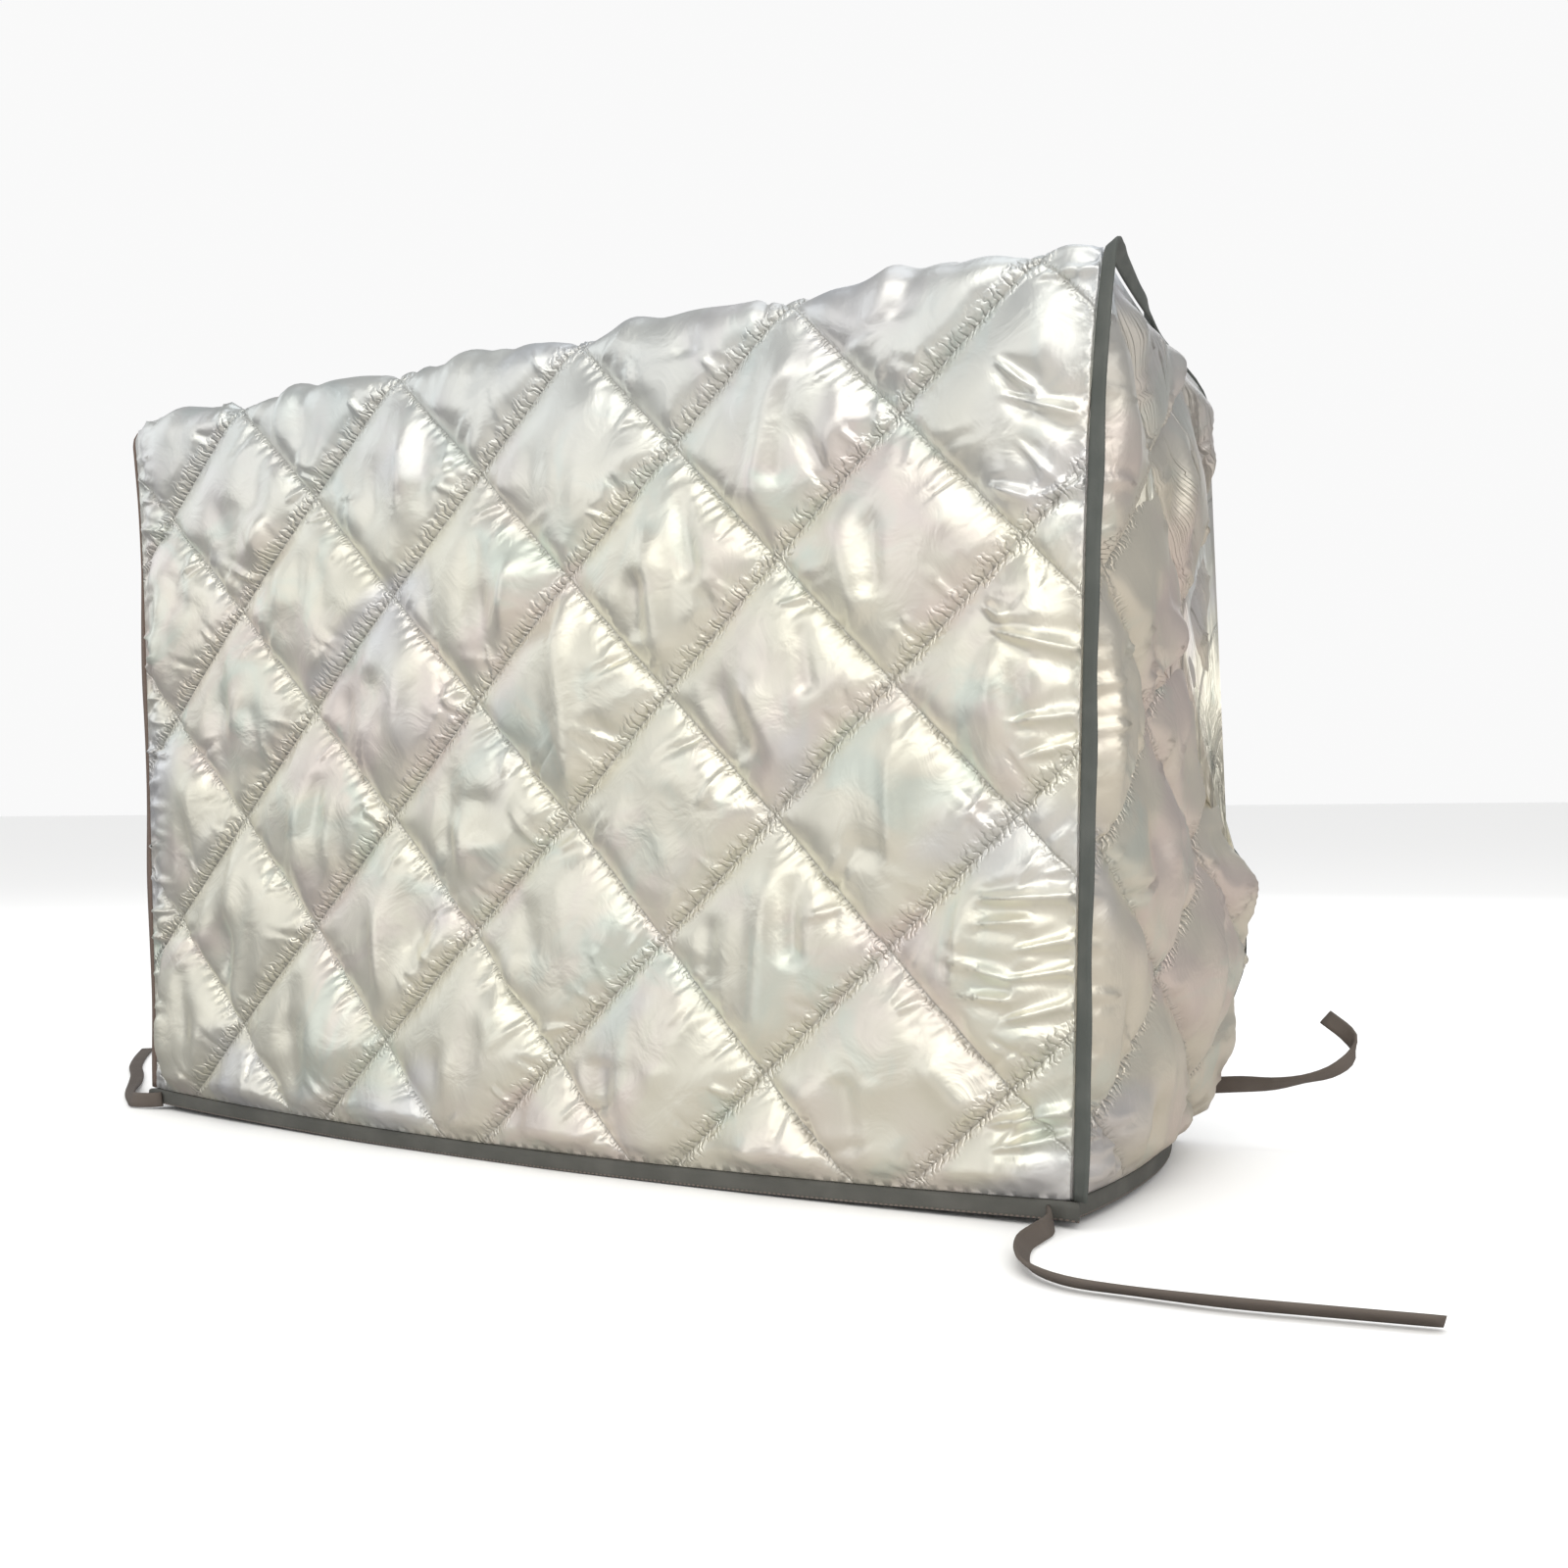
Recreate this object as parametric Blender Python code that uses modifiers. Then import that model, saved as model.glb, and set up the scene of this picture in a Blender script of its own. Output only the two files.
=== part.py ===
"""Quilted cover for an outdoor air conditioner: a U-shaped strip, two side panels, bound seams and ties.

Metres, +Z up. The front faces -Y. The origin lies under the middle of the top, where the covered
unit carries the cloth.
"""

import math

import bmesh
import bpy
from mathutils import Vector

# Overall sizes
WIDTH = 0.795  # across the front, halfway up
DEPTH = 0.28  # front to back
TOP_Z = 0.014  # seams of the top at its front edge
HEM_Z = -0.518  # lower edge of the hem binding at its lowest
MIDDLE_Z = -0.263  # height at which the width is measured
TAPER = 0.077  # growth of the width for each metre of height
TOP_FLARE = 0.009  # how far the top corners lean out beyond the taper
FLARE_REACH = 0.06
FOLD_RADIUS = 0.016  # of the strip, at the top's front and back edges
TOP_SAG = 0.028  # how far the top has sunk at its back edge
SAG_POWER = 1.4
HEM_LIFT = 0.004  # how far the hem rises from mid-front to the corners
LIFT_REACH = 0.15

# Quilting
DIAMOND_WIDTH = 0.160
DIAMOND_HEIGHT = 0.153
CELLS = 3  # mesh cells along half a diamond
NEAREST_LINE = 0.35  # of a cell, between two mesh lines
FIRST_COLUMN = -0.278  # a crossing's place across the front
FIRST_ROW = 0.012  # that crossing's height
SIDE_FIRST_COLUMN = -0.032
SIDE_FIRST_ROW = -0.0815
SEAM_THICKNESS = 0.0024  # the layers where they are sewn flat
LOFT = 0.014  # how far a diamond stands out of its seams
LINING_LOFT = 0.003  # and how far it stands in
PUFF_POWER = 0.62
LOFT_SPREAD = 0.16  # share by which the diamonds differ
UNEVEN_FALLING = 2.3  # radians from one row of diamonds to the next, each way
UNEVEN_RISING = 1.7
BORDER_FADE = 0.034  # where the puffs flatten towards a bound edge
HEM_FADE = 0.022

# Bellies of the loose panels
FRONT_BELLY = 0.009
HEM_BELLY = 0.016
BELLY_REACH = 0.20
BACK_BELLY = 0.006

# Tapes
GAP = 0.00035
EDGE_CLEARANCE = 0.0008  # seam tape to the strip's edge, which leans a little
SEAM_TAPE = 0.0100  # width of a seam's bound edge
SEAM_TAPE_THICK = 0.0026
ROLL_HEIGHT = 0.0043  # root of a tape that lies over the strip, from the middle of the layers
FOOT_LIFT = 0.0010  # of its end at the back hem
HEM_TAPE = 0.0110
HEM_TAPE_THICK = 0.0036
TIE_WIDTH = 0.0110
TIE_THICK = 0.0024
HEM_CORNER = 0.0040  # the hem tape's corners reach this far under the seam tapes
HEM_CORNER_RUN = 0.009
HEM_CORNER_SHARE = 0.016
PANEL_GAP = 0.0017  # side panel to strip, hidden in the bound seam

PANEL_HEM_Z = HEM_Z + HEM_TAPE + GAP
FRONT_Y = -DEPTH / 2
BACK_Y = DEPTH / 2
HALF_COLUMN = DIAMOND_WIDTH / 2
HALF_ROW = DIAMOND_HEIGHT / 2

# How far each side is drawn in at its back edge, and how late along its depth: height, draw, power
RIGHT_DRAW = (
    (0.020, 0.068, 0.8),
    (-0.030, 0.050, 1.0),
    (-0.100, 0.050, 1.3),
    (-0.200, 0.051, 1.5),
    (-0.265, 0.052, 1.6),
    (-0.305, 0.036, 1.7),
    (-0.345, 0.014, 1.8),
    (-0.390, 0.013, 1.9),
    (-0.440, 0.025, 2.0),
    (-0.480, 0.043, 2.1),
    (-0.518, 0.070, 2.2),
)
LEFT_DRAW = (
    (0.020, 0.046, 0.9),
    (-0.060, 0.030, 1.2),
    (-0.260, 0.026, 1.6),
    (-0.420, 0.034, 1.9),
    (-0.518, 0.058, 2.1),
)

# How a seam tape leans, in degrees from straight out to the side towards the strip's face, at this
# share of the strip's length. Past 90 it lies over the strip, below 0 over the side panel.
RIGHT_LEAN = (
    (0.00, 16),
    (0.30, 14),
    (0.385, 25),
    (0.43, 51),
    (0.51, 80),
    (0.575, 150),
    (0.825, 150),
    (0.856, 96),
    (0.885, 150),
    (1.00, 150),
)
LEFT_LEAN = (
    (0.00, -24),
    (0.28, -27),
    (0.35, -38),
    (1.00, -38),
)
LEAN_OVER = 60  # degrees past 90 over which the tape's root rolls onto the strip

# Routes of the ties, each chosen along the tape's middle: x, y, z, and the tilt of its width
# from upright, in degrees
FRONT_RIGHT_TIE = (
    (0.3780, -0.1434, -0.5110, 0),
    (0.3850, -0.1530, -0.5120, 10),
    (0.3892, -0.1646, -0.5120, 20),
    (0.3915, -0.1830, -0.5130, 30),
    (0.3950, -0.2030, -0.5140, 40),
    (0.4081, -0.2300, -0.5145, 45),
    (0.4240, -0.2481, -0.5150, 50),
    (0.4480, -0.2590, -0.5155, 55),
    (0.4780, -0.2580, -0.5155, 60),
    (0.5239, -0.2545, -0.5150, 55),
    (0.5657, -0.2454, -0.5150, 55),
    (0.6158, -0.2338, -0.5150, 55),
)
FRONT_LEFT_TIE = (
    (-0.3800, -0.1435, -0.5100, 0),
    (-0.3900, -0.1470, -0.5110, 0),
    (-0.4060, -0.1500, -0.5115, 10),
    (-0.4280, -0.1360, -0.5130, 30),
    (-0.4620, -0.1110, -0.5150, 60),
    (-0.5050, -0.0760, -0.5165, 85),
    (-0.5480, -0.0420, -0.5165, 90),
    (-0.5960, -0.0080, -0.5165, 90),
    (-0.6440, 0.0320, -0.5165, 90),
    (-0.6900, 0.0740, -0.5165, 90),
)
BACK_RIGHT_TIE = (
    (0.3494, 0.1462, -0.4800, 0),
    (0.3580, 0.1480, -0.4790, 0),
    (0.3740, 0.1500, -0.4775, 10),
    (0.3940, 0.1520, -0.4760, 40),
    (0.4130, 0.1560, -0.4720, 60),
    (0.4290, 0.1620, -0.4670, 40),
    (0.4390, 0.1700, -0.4590, 15),
    (0.4400, 0.1780, -0.4510, 10),
    (0.4330, 0.1840, -0.4435, 20),
    (0.4170, 0.1890, -0.4340, 35),
)
TIE_STEP = 0.009
FLOOR_CLEARANCE = 0.0004

FABRIC_COLOUR = (0.62, 0.62, 0.58, 1.0)
TAPE_COLOUR = (0.075, 0.082, 0.076, 1.0)


def clear_scene():
    for obj in list(bpy.data.objects):
        bpy.data.objects.remove(obj, do_unlink=True)


def make_material(name, colour, roughness, metallic):
    material = bpy.data.materials.new(name)
    material.use_nodes = True
    shader = material.node_tree.nodes["Principled BSDF"]
    shader.inputs["Base Color"].default_value = colour
    shader.inputs["Roughness"].default_value = roughness
    shader.inputs["Metallic"].default_value = metallic
    return material


def smooth(share):
    share = min(max(share, 0.0), 1.0)
    return share * share * (3 - 2 * share)


def row_values(table, key):
    """The columns of a table at a key between its rows, eased from row to row."""
    rows = sorted(table)
    if key <= rows[0][0]:
        return rows[0][1:]
    for low, high in zip(rows, rows[1:]):
        if key <= high[0]:
            share = smooth((key - low[0]) / (high[0] - low[0]))
            return tuple(a + (b - a) * share for a, b in zip(low[1:], high[1:]))
    return rows[-1][1:]


def depth_share(y):
    return min(max((y - FRONT_Y) / DEPTH, 0.0), 1.0)


def side_x(side, y, z):
    """The plain side of the cover, before quilting: side is 1 at the right and -1 at the left."""
    half = WIDTH / 2 * (1 + TAPER * (z - MIDDLE_Z))
    half += TOP_FLARE * math.exp(-max(TOP_Z - z, 0) / FLARE_REACH)
    draw, power = row_values(RIGHT_DRAW if side > 0 else LEFT_DRAW, z)
    return side * (half - draw * depth_share(y) ** power)


def top_height(y):
    return TOP_Z - TOP_SAG * depth_share(y) ** SAG_POWER


def hem_lift(across, z):
    return HEM_LIFT * across * across * max(0.0, 1 - (z - PANEL_HEM_Z) / LIFT_REACH)


def loft_at(column, row):
    """How far a quilted diamond stands up, 0 on its seams and 1 at most."""
    first = (column + row) / 2
    second = (column - row) / 2
    a = first - math.floor(first)
    b = second - math.floor(second)
    puff = (4 * a * (1 - a)) ** PUFF_POWER * (4 * b * (1 - b)) ** PUFF_POWER
    uneven = math.sin(UNEVEN_FALLING * math.floor(first)) * math.cos(UNEVEN_RISING * math.floor(second))
    return puff * (1 + LOFT_SPREAD * uneven)


# The strip's section: up the front, back over the top and down the back
FRONT_LENGTH = TOP_Z - FOLD_RADIUS - PANEL_HEM_Z
ARC_LENGTH = FOLD_RADIUS * math.pi / 2
TOP_LENGTH = DEPTH - 2 * FOLD_RADIUS
BACK_TOP_Z = top_height(BACK_Y) - FOLD_RADIUS
BACK_LENGTH = BACK_TOP_Z - PANEL_HEM_Z
FRONT_FOLD = FRONT_LENGTH + ARC_LENGTH
BACK_FOLD = FRONT_FOLD + TOP_LENGTH
STRIP_LENGTH = BACK_FOLD + ARC_LENGTH + BACK_LENGTH
STRIP_PHASE = FIRST_ROW - PANEL_HEM_Z


def strip_section(along):
    """y, z and the outward direction of the strip, this far along it from the front hem."""
    if along <= FRONT_LENGTH:
        return FRONT_Y, PANEL_HEM_Z + along, Vector((0, -1, 0))
    if along <= FRONT_FOLD:
        turn = (along - FRONT_LENGTH) / FOLD_RADIUS
        y = FRONT_Y + FOLD_RADIUS * (1 - math.cos(turn))
        z = TOP_Z - FOLD_RADIUS + FOLD_RADIUS * math.sin(turn)
        return y, z, Vector((0, -math.cos(turn), math.sin(turn)))
    if along <= BACK_FOLD:
        y = FRONT_Y + FOLD_RADIUS + along - FRONT_FOLD
        return y, top_height(y), Vector((0, 0, 1))
    if along <= BACK_FOLD + ARC_LENGTH:
        turn = (along - BACK_FOLD) / FOLD_RADIUS
        y = BACK_Y - FOLD_RADIUS + FOLD_RADIUS * math.sin(turn)
        z = BACK_TOP_Z + FOLD_RADIUS * math.cos(turn)
        return y, z, Vector((0, math.sin(turn), math.cos(turn)))
    return BACK_Y, PANEL_HEM_Z + STRIP_LENGTH - along, Vector((0, 1, 0))


def strip_base(across, along):
    """A point of the strip without its quilting: across runs from -1 at the left to 1."""
    y, z, outward = strip_section(along)
    left = side_x(-1, y, z)
    right = side_x(1, y, z)
    x = left + (right - left) * (across + 1) / 2
    crown = (1 - across * across) * smooth((TOP_Z - z) / BELLY_REACH)
    if outward.y < 0:
        low = smooth(1 - (z - PANEL_HEM_Z) / BELLY_REACH)
        y -= crown * (FRONT_BELLY + HEM_BELLY * low)
    elif outward.y > 0:
        y += crown * BACK_BELLY
    return Vector((x, y, z + hem_lift(across, z))), outward


def grid_lines(start, end, phase, cell, extra=()):
    """Mesh lines on the quilting's own spacing, with the edges and any extra lines kept."""
    lines = [start, end, *extra]
    step = math.ceil((start - phase) / cell)
    while phase + step * cell < end:
        place = phase + step * cell
        if all(abs(place - other) > NEAREST_LINE * cell for other in [start, end, *extra]):
            lines.append(place)
        step += 1
    return sorted(lines)


def quilted_sheet(name, columns, rows, place, quilt, material):
    """A quilted panel: place gives a vertex, quilt its column, row and how far it is from an edge."""
    mesh = bpy.data.meshes.new(name)
    obj = bpy.data.objects.new(name, mesh)
    form = bmesh.new()
    wide = len(columns) - 1
    tall = len(rows) - 1
    bmesh.ops.create_grid(form, x_segments=wide, y_segments=tall, size=0.5)
    weights = {}
    crossings = {}
    for vertex in form.verts:
        i = round((vertex.co.x + 0.5) * wide)
        j = round((vertex.co.y + 0.5) * tall)
        column, row, fade = quilt(columns[i], rows[j])
        loft = loft_at(column, row) * fade
        point, outward = place(i, j)
        vertex.co = point + outward * LOFT * loft
        weights[vertex.index] = min(loft, 1.0)
        crossings[vertex] = (column, row)
    split_along_seams(form, crossings)
    form.to_mesh(mesh)
    form.free()
    group = obj.vertex_groups.new(name="loft")
    for index, weight in weights.items():
        group.add([index], weight, "REPLACE")
    full = SEAM_THICKNESS + LOFT + LINING_LOFT
    shell = obj.modifiers.new("layers", "SOLIDIFY")
    shell.thickness = full
    shell.offset = -1
    shell.vertex_group = "loft"
    shell.thickness_vertex_group = SEAM_THICKNESS / full
    mesh.materials.append(material)
    mesh.shade_smooth()
    return obj


def split_along_seams(form, crossings):
    """Cuts each square cell into triangles along the direction of the nearest seam."""
    falling = []
    rising = []
    for face in form.faces:
        column = sum(crossings[v][0] for v in face.verts) / 4
        row = sum(crossings[v][1] for v in face.verts) / 4
        even = (math.floor(column) + math.floor(row)) % 2 == 0
        (falling if even else rising).append(face)
    bmesh.ops.triangulate(form, faces=falling, quad_method="ALTERNATE")
    bmesh.ops.triangulate(form, faces=rising, quad_method="FIXED")


def strip_rows():
    arcs = [ARC_LENGTH * third / 3 for third in range(4)]
    folds = [FRONT_LENGTH + a for a in arcs] + [BACK_FOLD + a for a in arcs]
    return grid_lines(0, STRIP_LENGTH, STRIP_PHASE, HALF_ROW / CELLS, folds)


def make_strip(material):
    rows = strip_rows()
    half = WIDTH / 2
    columns = grid_lines(-half, half, FIRST_COLUMN, HALF_COLUMN / CELLS)

    def place(i, j):
        return strip_base(columns[i] / half, rows[j])

    def quilt(across, along):
        edge = smooth((half - abs(across)) / BORDER_FADE)
        hem = smooth(min(along, STRIP_LENGTH - along) / HEM_FADE)
        row = (STRIP_PHASE - along) / HALF_ROW
        return (across - FIRST_COLUMN) / HALF_COLUMN, row, edge * hem

    return quilted_sheet("main_panel", columns, rows, place, quilt, material)


def make_side(name, side, material):
    inset = SEAM_THICKNESS + PANEL_GAP
    round_off = FOLD_RADIUS - inset
    front = FRONT_Y + inset
    back = BACK_Y - inset
    bottom = PANEL_HEM_Z
    top = TOP_Z - inset
    folds = (front + round_off, back - round_off)
    columns = grid_lines(front, back, SIDE_FIRST_COLUMN, HALF_COLUMN / CELLS, folds)
    rows = grid_lines(bottom, top, SIDE_FIRST_ROW, HALF_ROW / CELLS, (top - round_off,))
    outward = Vector((side, 0, 0))
    corner_cut = round_off * (1 - math.sqrt(0.5))

    def place(i, j):
        y = columns[i]
        ceiling = top_height(y) - inset
        z = bottom + (rows[j] - bottom) * (ceiling - bottom) / (top - bottom)
        if j == len(rows) - 1 and i in (0, len(columns) - 1):
            y += corner_cut if i == 0 else -corner_cut
            z = top_height(y) - inset - corner_cut
        x = side_x(side, y, z)
        return Vector((x, y, z + hem_lift(1, z))), outward

    def quilt(y, z):
        edge = smooth(min(y - front, back - y, top - z) / BORDER_FADE)
        hem = smooth((z - bottom) / HEM_FADE)
        row = (SIDE_FIRST_ROW - z) / HALF_ROW
        return (y - SIDE_FIRST_COLUMN) / HALF_COLUMN, row, edge * hem

    obj = quilted_sheet(name, columns, rows, place, quilt, material)
    if side < 0:
        obj.data.flip_normals()
    return obj


def ribbon(name, roots, tips, thickness, material, closed=False):
    """A flat tape between two rows of points, given its thickness on both sides."""
    mesh = bpy.data.meshes.new(name)
    obj = bpy.data.objects.new(name, mesh)
    form = bmesh.new()
    low = [form.verts.new(point) for point in roots]
    high = [form.verts.new(point) for point in tips]
    turns = len(low) if closed else len(low) - 1
    for i in range(turns):
        k = (i + 1) % len(low)
        form.faces.new((low[i], low[k], high[k], high[i]))
    form.to_mesh(mesh)
    form.free()
    body = obj.modifiers.new("thickness", "SOLIDIFY")
    body.thickness = thickness
    body.offset = 0
    body.use_even_offset = True
    mesh.materials.append(material)
    return obj


def make_seam_tape(name, side, material):
    """The bound seam that follows one edge of the strip from the front hem to the back hem."""
    roots = []
    tips = []
    for along in strip_rows():
        y, z, outward = strip_section(along)
        degrees = row_values(RIGHT_LEAN if side > 0 else LEFT_LEAN, along / STRIP_LENGTH)[0]
        lean = math.radians(degrees)
        over = max(degrees - 90, 0) / LEAN_OVER
        turned = abs(math.sin(lean))
        beside = EDGE_CLEARANCE * (1 + turned) + SEAM_TAPE_THICK / 2 * turned
        beside = beside * (1 - over) - SEAM_THICKNESS / 2 * over
        above = ROLL_HEIGHT * math.sin(min(2 * over, 1) * math.pi / 2) - SEAM_THICKNESS / 2
        edge = Vector((side_x(side, y, z), y, z + hem_lift(1, z)))
        if along in (0, STRIP_LENGTH):
            edge.z += FOOT_LIFT * depth_share(y)
        out = Vector((side, 0, 0))
        root = edge + out * beside + outward * above
        roots.append(root)
        tips.append(root + (out * math.cos(lean) + outward * math.sin(lean)) * SEAM_TAPE)
    if side < 0:
        roots, tips = tips, roots
    return ribbon(name, roots, tips, SEAM_TAPE_THICK, material)


def ring_stops(start, end, count, inset):
    """Evenly spaced places between two corners, kept this far from both."""
    run = end - start
    step = math.copysign(inset, run)
    return [start + step + (run - 2 * step) * i / (count - 1) for i in range(count)]


def hem_ring():
    """The middle of the hem's layers, all round, with its corners under the ends of the seam tapes."""
    inner = SEAM_THICKNESS / 2
    ring = []
    for side, y, along, count in ((-1, FRONT_Y, 0, 25), (1, BACK_Y, STRIP_LENGTH, 19)):
        for across in ring_stops(side, -side, count, HEM_CORNER_SHARE):
            point, outward = strip_base(across, along)
            ring.append(point - outward * inner)
        corner = side_x(-side, y, PANEL_HEM_Z) - side * HEM_CORNER
        ring.append(Vector((corner, y + side * inner, PANEL_HEM_Z + HEM_LIFT)))
        for stop in ring_stops(y, -y, 9, HEM_CORNER_RUN):
            edge = side_x(-side, stop, PANEL_HEM_Z) + side * inner
            ring.append(Vector((edge, stop, PANEL_HEM_Z + HEM_LIFT)))
        corner = side_x(-side, -y, PANEL_HEM_Z) - side * HEM_CORNER
        ring.append(Vector((corner, -y - side * inner, PANEL_HEM_Z + HEM_LIFT)))
    return ring


def make_hem_tape(material):
    ring = hem_ring()
    drop = Vector((0, 0, GAP))
    tips = [point - drop for point in ring]
    roots = [tip - Vector((0, 0, HEM_TAPE)) for tip in tips]
    return ribbon("hem_binding", roots, tips, HEM_TAPE_THICK, material, closed=True)


def smooth_route(table, step):
    """Points and tilts on a smooth curve through a tie's own points."""
    rows = [Vector((*row[:3], row[3] / 100)) for row in table]
    rows = [rows[0] * 2 - rows[1], *rows, rows[-1] * 2 - rows[-2]]
    route = []
    for a, b, c, d in zip(rows, rows[1:], rows[2:], rows[3:]):
        pieces = max(1, round(Vector((c - b)[:3]).length / step))
        for piece in range(pieces):
            t = piece / pieces
            bend = (2 * a - 5 * b + 4 * c - d) * t**2 + (3 * b - a - 3 * c + d) * t**3
            route.append(b + (c - a) * t / 2 + bend / 2)
    route.append(rows[-2])
    return [(Vector(point[:3]), math.radians(point[3] * 100)) for point in route]


def make_tie(name, table, material):
    route = smooth_route(table, TIE_STEP)
    roots = []
    tips = []
    for i, (point, tilt) in enumerate(route):
        before = route[max(i - 1, 0)][0]
        after = route[min(i + 1, len(route) - 1)][0]
        heading = (after - before).normalized()
        level = heading.cross(Vector((0, 0, 1))).normalized()
        upright = level.cross(heading).normalized()
        width = upright * math.cos(tilt) + level * math.sin(tilt)
        reach = TIE_WIDTH / 2 * math.cos(tilt) + TIE_THICK / 2 * math.sin(tilt)
        point.z = max(point.z, HEM_Z + reach + FLOOR_CLEARANCE)
        roots.append(point - width * TIE_WIDTH / 2)
        tips.append(point + width * TIE_WIDTH / 2)
    return ribbon(name, roots, tips, TIE_THICK, material)


def main():
    clear_scene()
    collection = bpy.data.collections.new("air_conditioner_cover")
    bpy.context.scene.collection.children.link(collection)
    silver = make_material("silver_quilt", FABRIC_COLOUR, 0.32, 0.6)
    tape = make_material("dark_tape", TAPE_COLOUR, 0.75, 0.0)
    pieces = [
        make_strip(silver),
        make_side("side_panel_right", 1, silver),
        make_side("side_panel_left", -1, silver),
        make_seam_tape("seam_binding_right", 1, tape),
        make_seam_tape("seam_binding_left", -1, tape),
        make_hem_tape(tape),
        make_tie("tie_front_right", FRONT_RIGHT_TIE, tape),
        make_tie("tie_front_left", FRONT_LEFT_TIE, tape),
        make_tie("tie_back_right", BACK_RIGHT_TIE, tape),
    ]
    for piece in pieces:
        collection.objects.link(piece)


main()
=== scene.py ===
import math

import bmesh
import bpy
import numpy as np
from mathutils import Matrix, Vector


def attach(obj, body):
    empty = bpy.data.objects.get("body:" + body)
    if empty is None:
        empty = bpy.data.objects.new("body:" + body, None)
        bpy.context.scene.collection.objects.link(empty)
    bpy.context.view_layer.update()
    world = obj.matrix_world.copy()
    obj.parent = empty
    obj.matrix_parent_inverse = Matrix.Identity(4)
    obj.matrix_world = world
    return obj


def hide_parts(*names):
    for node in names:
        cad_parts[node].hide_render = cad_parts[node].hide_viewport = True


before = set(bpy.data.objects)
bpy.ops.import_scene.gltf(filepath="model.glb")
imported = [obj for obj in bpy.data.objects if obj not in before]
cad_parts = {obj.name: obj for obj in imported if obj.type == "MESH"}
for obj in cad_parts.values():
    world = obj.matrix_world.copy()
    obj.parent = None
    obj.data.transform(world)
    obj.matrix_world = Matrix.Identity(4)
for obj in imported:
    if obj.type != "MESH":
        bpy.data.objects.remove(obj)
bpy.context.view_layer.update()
print("frame loaded:", sorted(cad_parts))

# The camera stands low, at the cover's right front corner
cameraSettings = {
    "place": (0.8592, -1.0785, -0.2858),
    "yaw": 0.6097,
    "pitch": 0.0093,
    "roll": 0.0092,
    "lens": 44.01,
    "sensor": 36.0,
}


def makeCamera(settings):
    data = bpy.data.cameras.new("photoCamera")
    data.lens = settings["lens"]
    data.sensor_width = settings["sensor"]
    data.clip_start = 0.02
    data.clip_end = 60
    camera = bpy.data.objects.new("photoCamera", data)
    turn = Matrix.Rotation(settings["yaw"], 4, "Z") @ Matrix.Rotation(settings["pitch"], 4, "X")
    turn = turn @ Matrix.Rotation(settings["roll"], 4, "Y") @ Matrix.Rotation(math.radians(90), 4, "X")
    camera.matrix_world = Matrix.Translation(settings["place"]) @ turn
    bpy.context.scene.collection.objects.link(camera)
    bpy.context.scene.camera = camera


makeCamera(cameraSettings)
print("camera placed")

# Sizes of the whole cover, in metres, the same as the solids'
cover = {
    "width": 0.795,
    "depth": 0.28,
    "topZ": 0.014,
    "hemZ": -0.518,
    "middleZ": -0.263,
    "taper": 0.077,
    "flare": 0.009,
    "flareReach": 0.06,
    "foldRadius": 0.016,
    "topSag": 0.028,
    "sagPower": 1.4,
    "hemLift": 0.004,
    "liftReach": 0.15,
    "frontBelly": 0.009,
    "hemBelly": 0.016,
    "bellyReach": 0.20,
    "backBelly": 0.006,
    "seamThickness": 0.0024,
    "gap": 0.00035,
    "hemTape": 0.011,
}
frontY = -cover["depth"] / 2
backY = cover["depth"] / 2
panelHemZ = cover["hemZ"] + cover["hemTape"] + cover["gap"]

# How far each side is drawn in at its back edge: height, draw, power
rightDraw = (
    (0.020, 0.068, 0.8),
    (-0.030, 0.050, 1.0),
    (-0.100, 0.050, 1.3),
    (-0.200, 0.051, 1.5),
    (-0.265, 0.052, 1.6),
    (-0.305, 0.036, 1.7),
    (-0.345, 0.014, 1.8),
    (-0.390, 0.013, 1.9),
    (-0.440, 0.025, 2.0),
    (-0.480, 0.043, 2.1),
    (-0.518, 0.070, 2.2),
)
leftDraw = (
    (0.020, 0.046, 0.9),
    (-0.060, 0.030, 1.2),
    (-0.260, 0.026, 1.6),
    (-0.420, 0.034, 1.9),
    (-0.518, 0.058, 2.1),
)


def smoothShare(share):
    share = np.clip(share, 0.0, 1.0)
    return share * share * (3 - 2 * share)


# One column of a table at many keys, eased from row to row
def tableColumn(table, key, column):
    rows = np.array(sorted(table))
    place = np.clip(np.searchsorted(rows[:, 0], key) - 1, 0, len(rows) - 2)
    low = rows[place, 0]
    high = rows[place + 1, 0]
    share = smoothShare((key - low) / (high - low))
    return rows[place, column] + (rows[place + 1, column] - rows[place, column]) * share


def depthShare(y):
    return np.clip((y - frontY) / cover["depth"], 0.0, 1.0)


def sideX(side, y, z):
    half = cover["width"] / 2 * (1 + cover["taper"] * (z - cover["middleZ"]))
    half = half + cover["flare"] * np.exp(-np.maximum(cover["topZ"] - z, 0) / cover["flareReach"])
    table = rightDraw if side > 0 else leftDraw
    return side * (half - tableColumn(table, z, 1) * depthShare(y) ** tableColumn(table, z, 2))


def topHeight(y):
    return cover["topZ"] - cover["topSag"] * depthShare(y) ** cover["sagPower"]


def hemLift(across, z):
    return cover["hemLift"] * across**2 * np.maximum(0.0, 1 - (z - panelHemZ) / cover["liftReach"])


# The strip runs up the front, over the top and down the back
foldRadius = cover["foldRadius"]
arcLength = foldRadius * math.pi / 2
frontLength = cover["topZ"] - foldRadius - panelHemZ
frontFold = frontLength + arcLength
backFold = frontFold + cover["depth"] - 2 * foldRadius
backTopZ = float(topHeight(backY)) - foldRadius
stripLength = backFold + arcLength + backTopZ - panelHemZ


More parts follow.
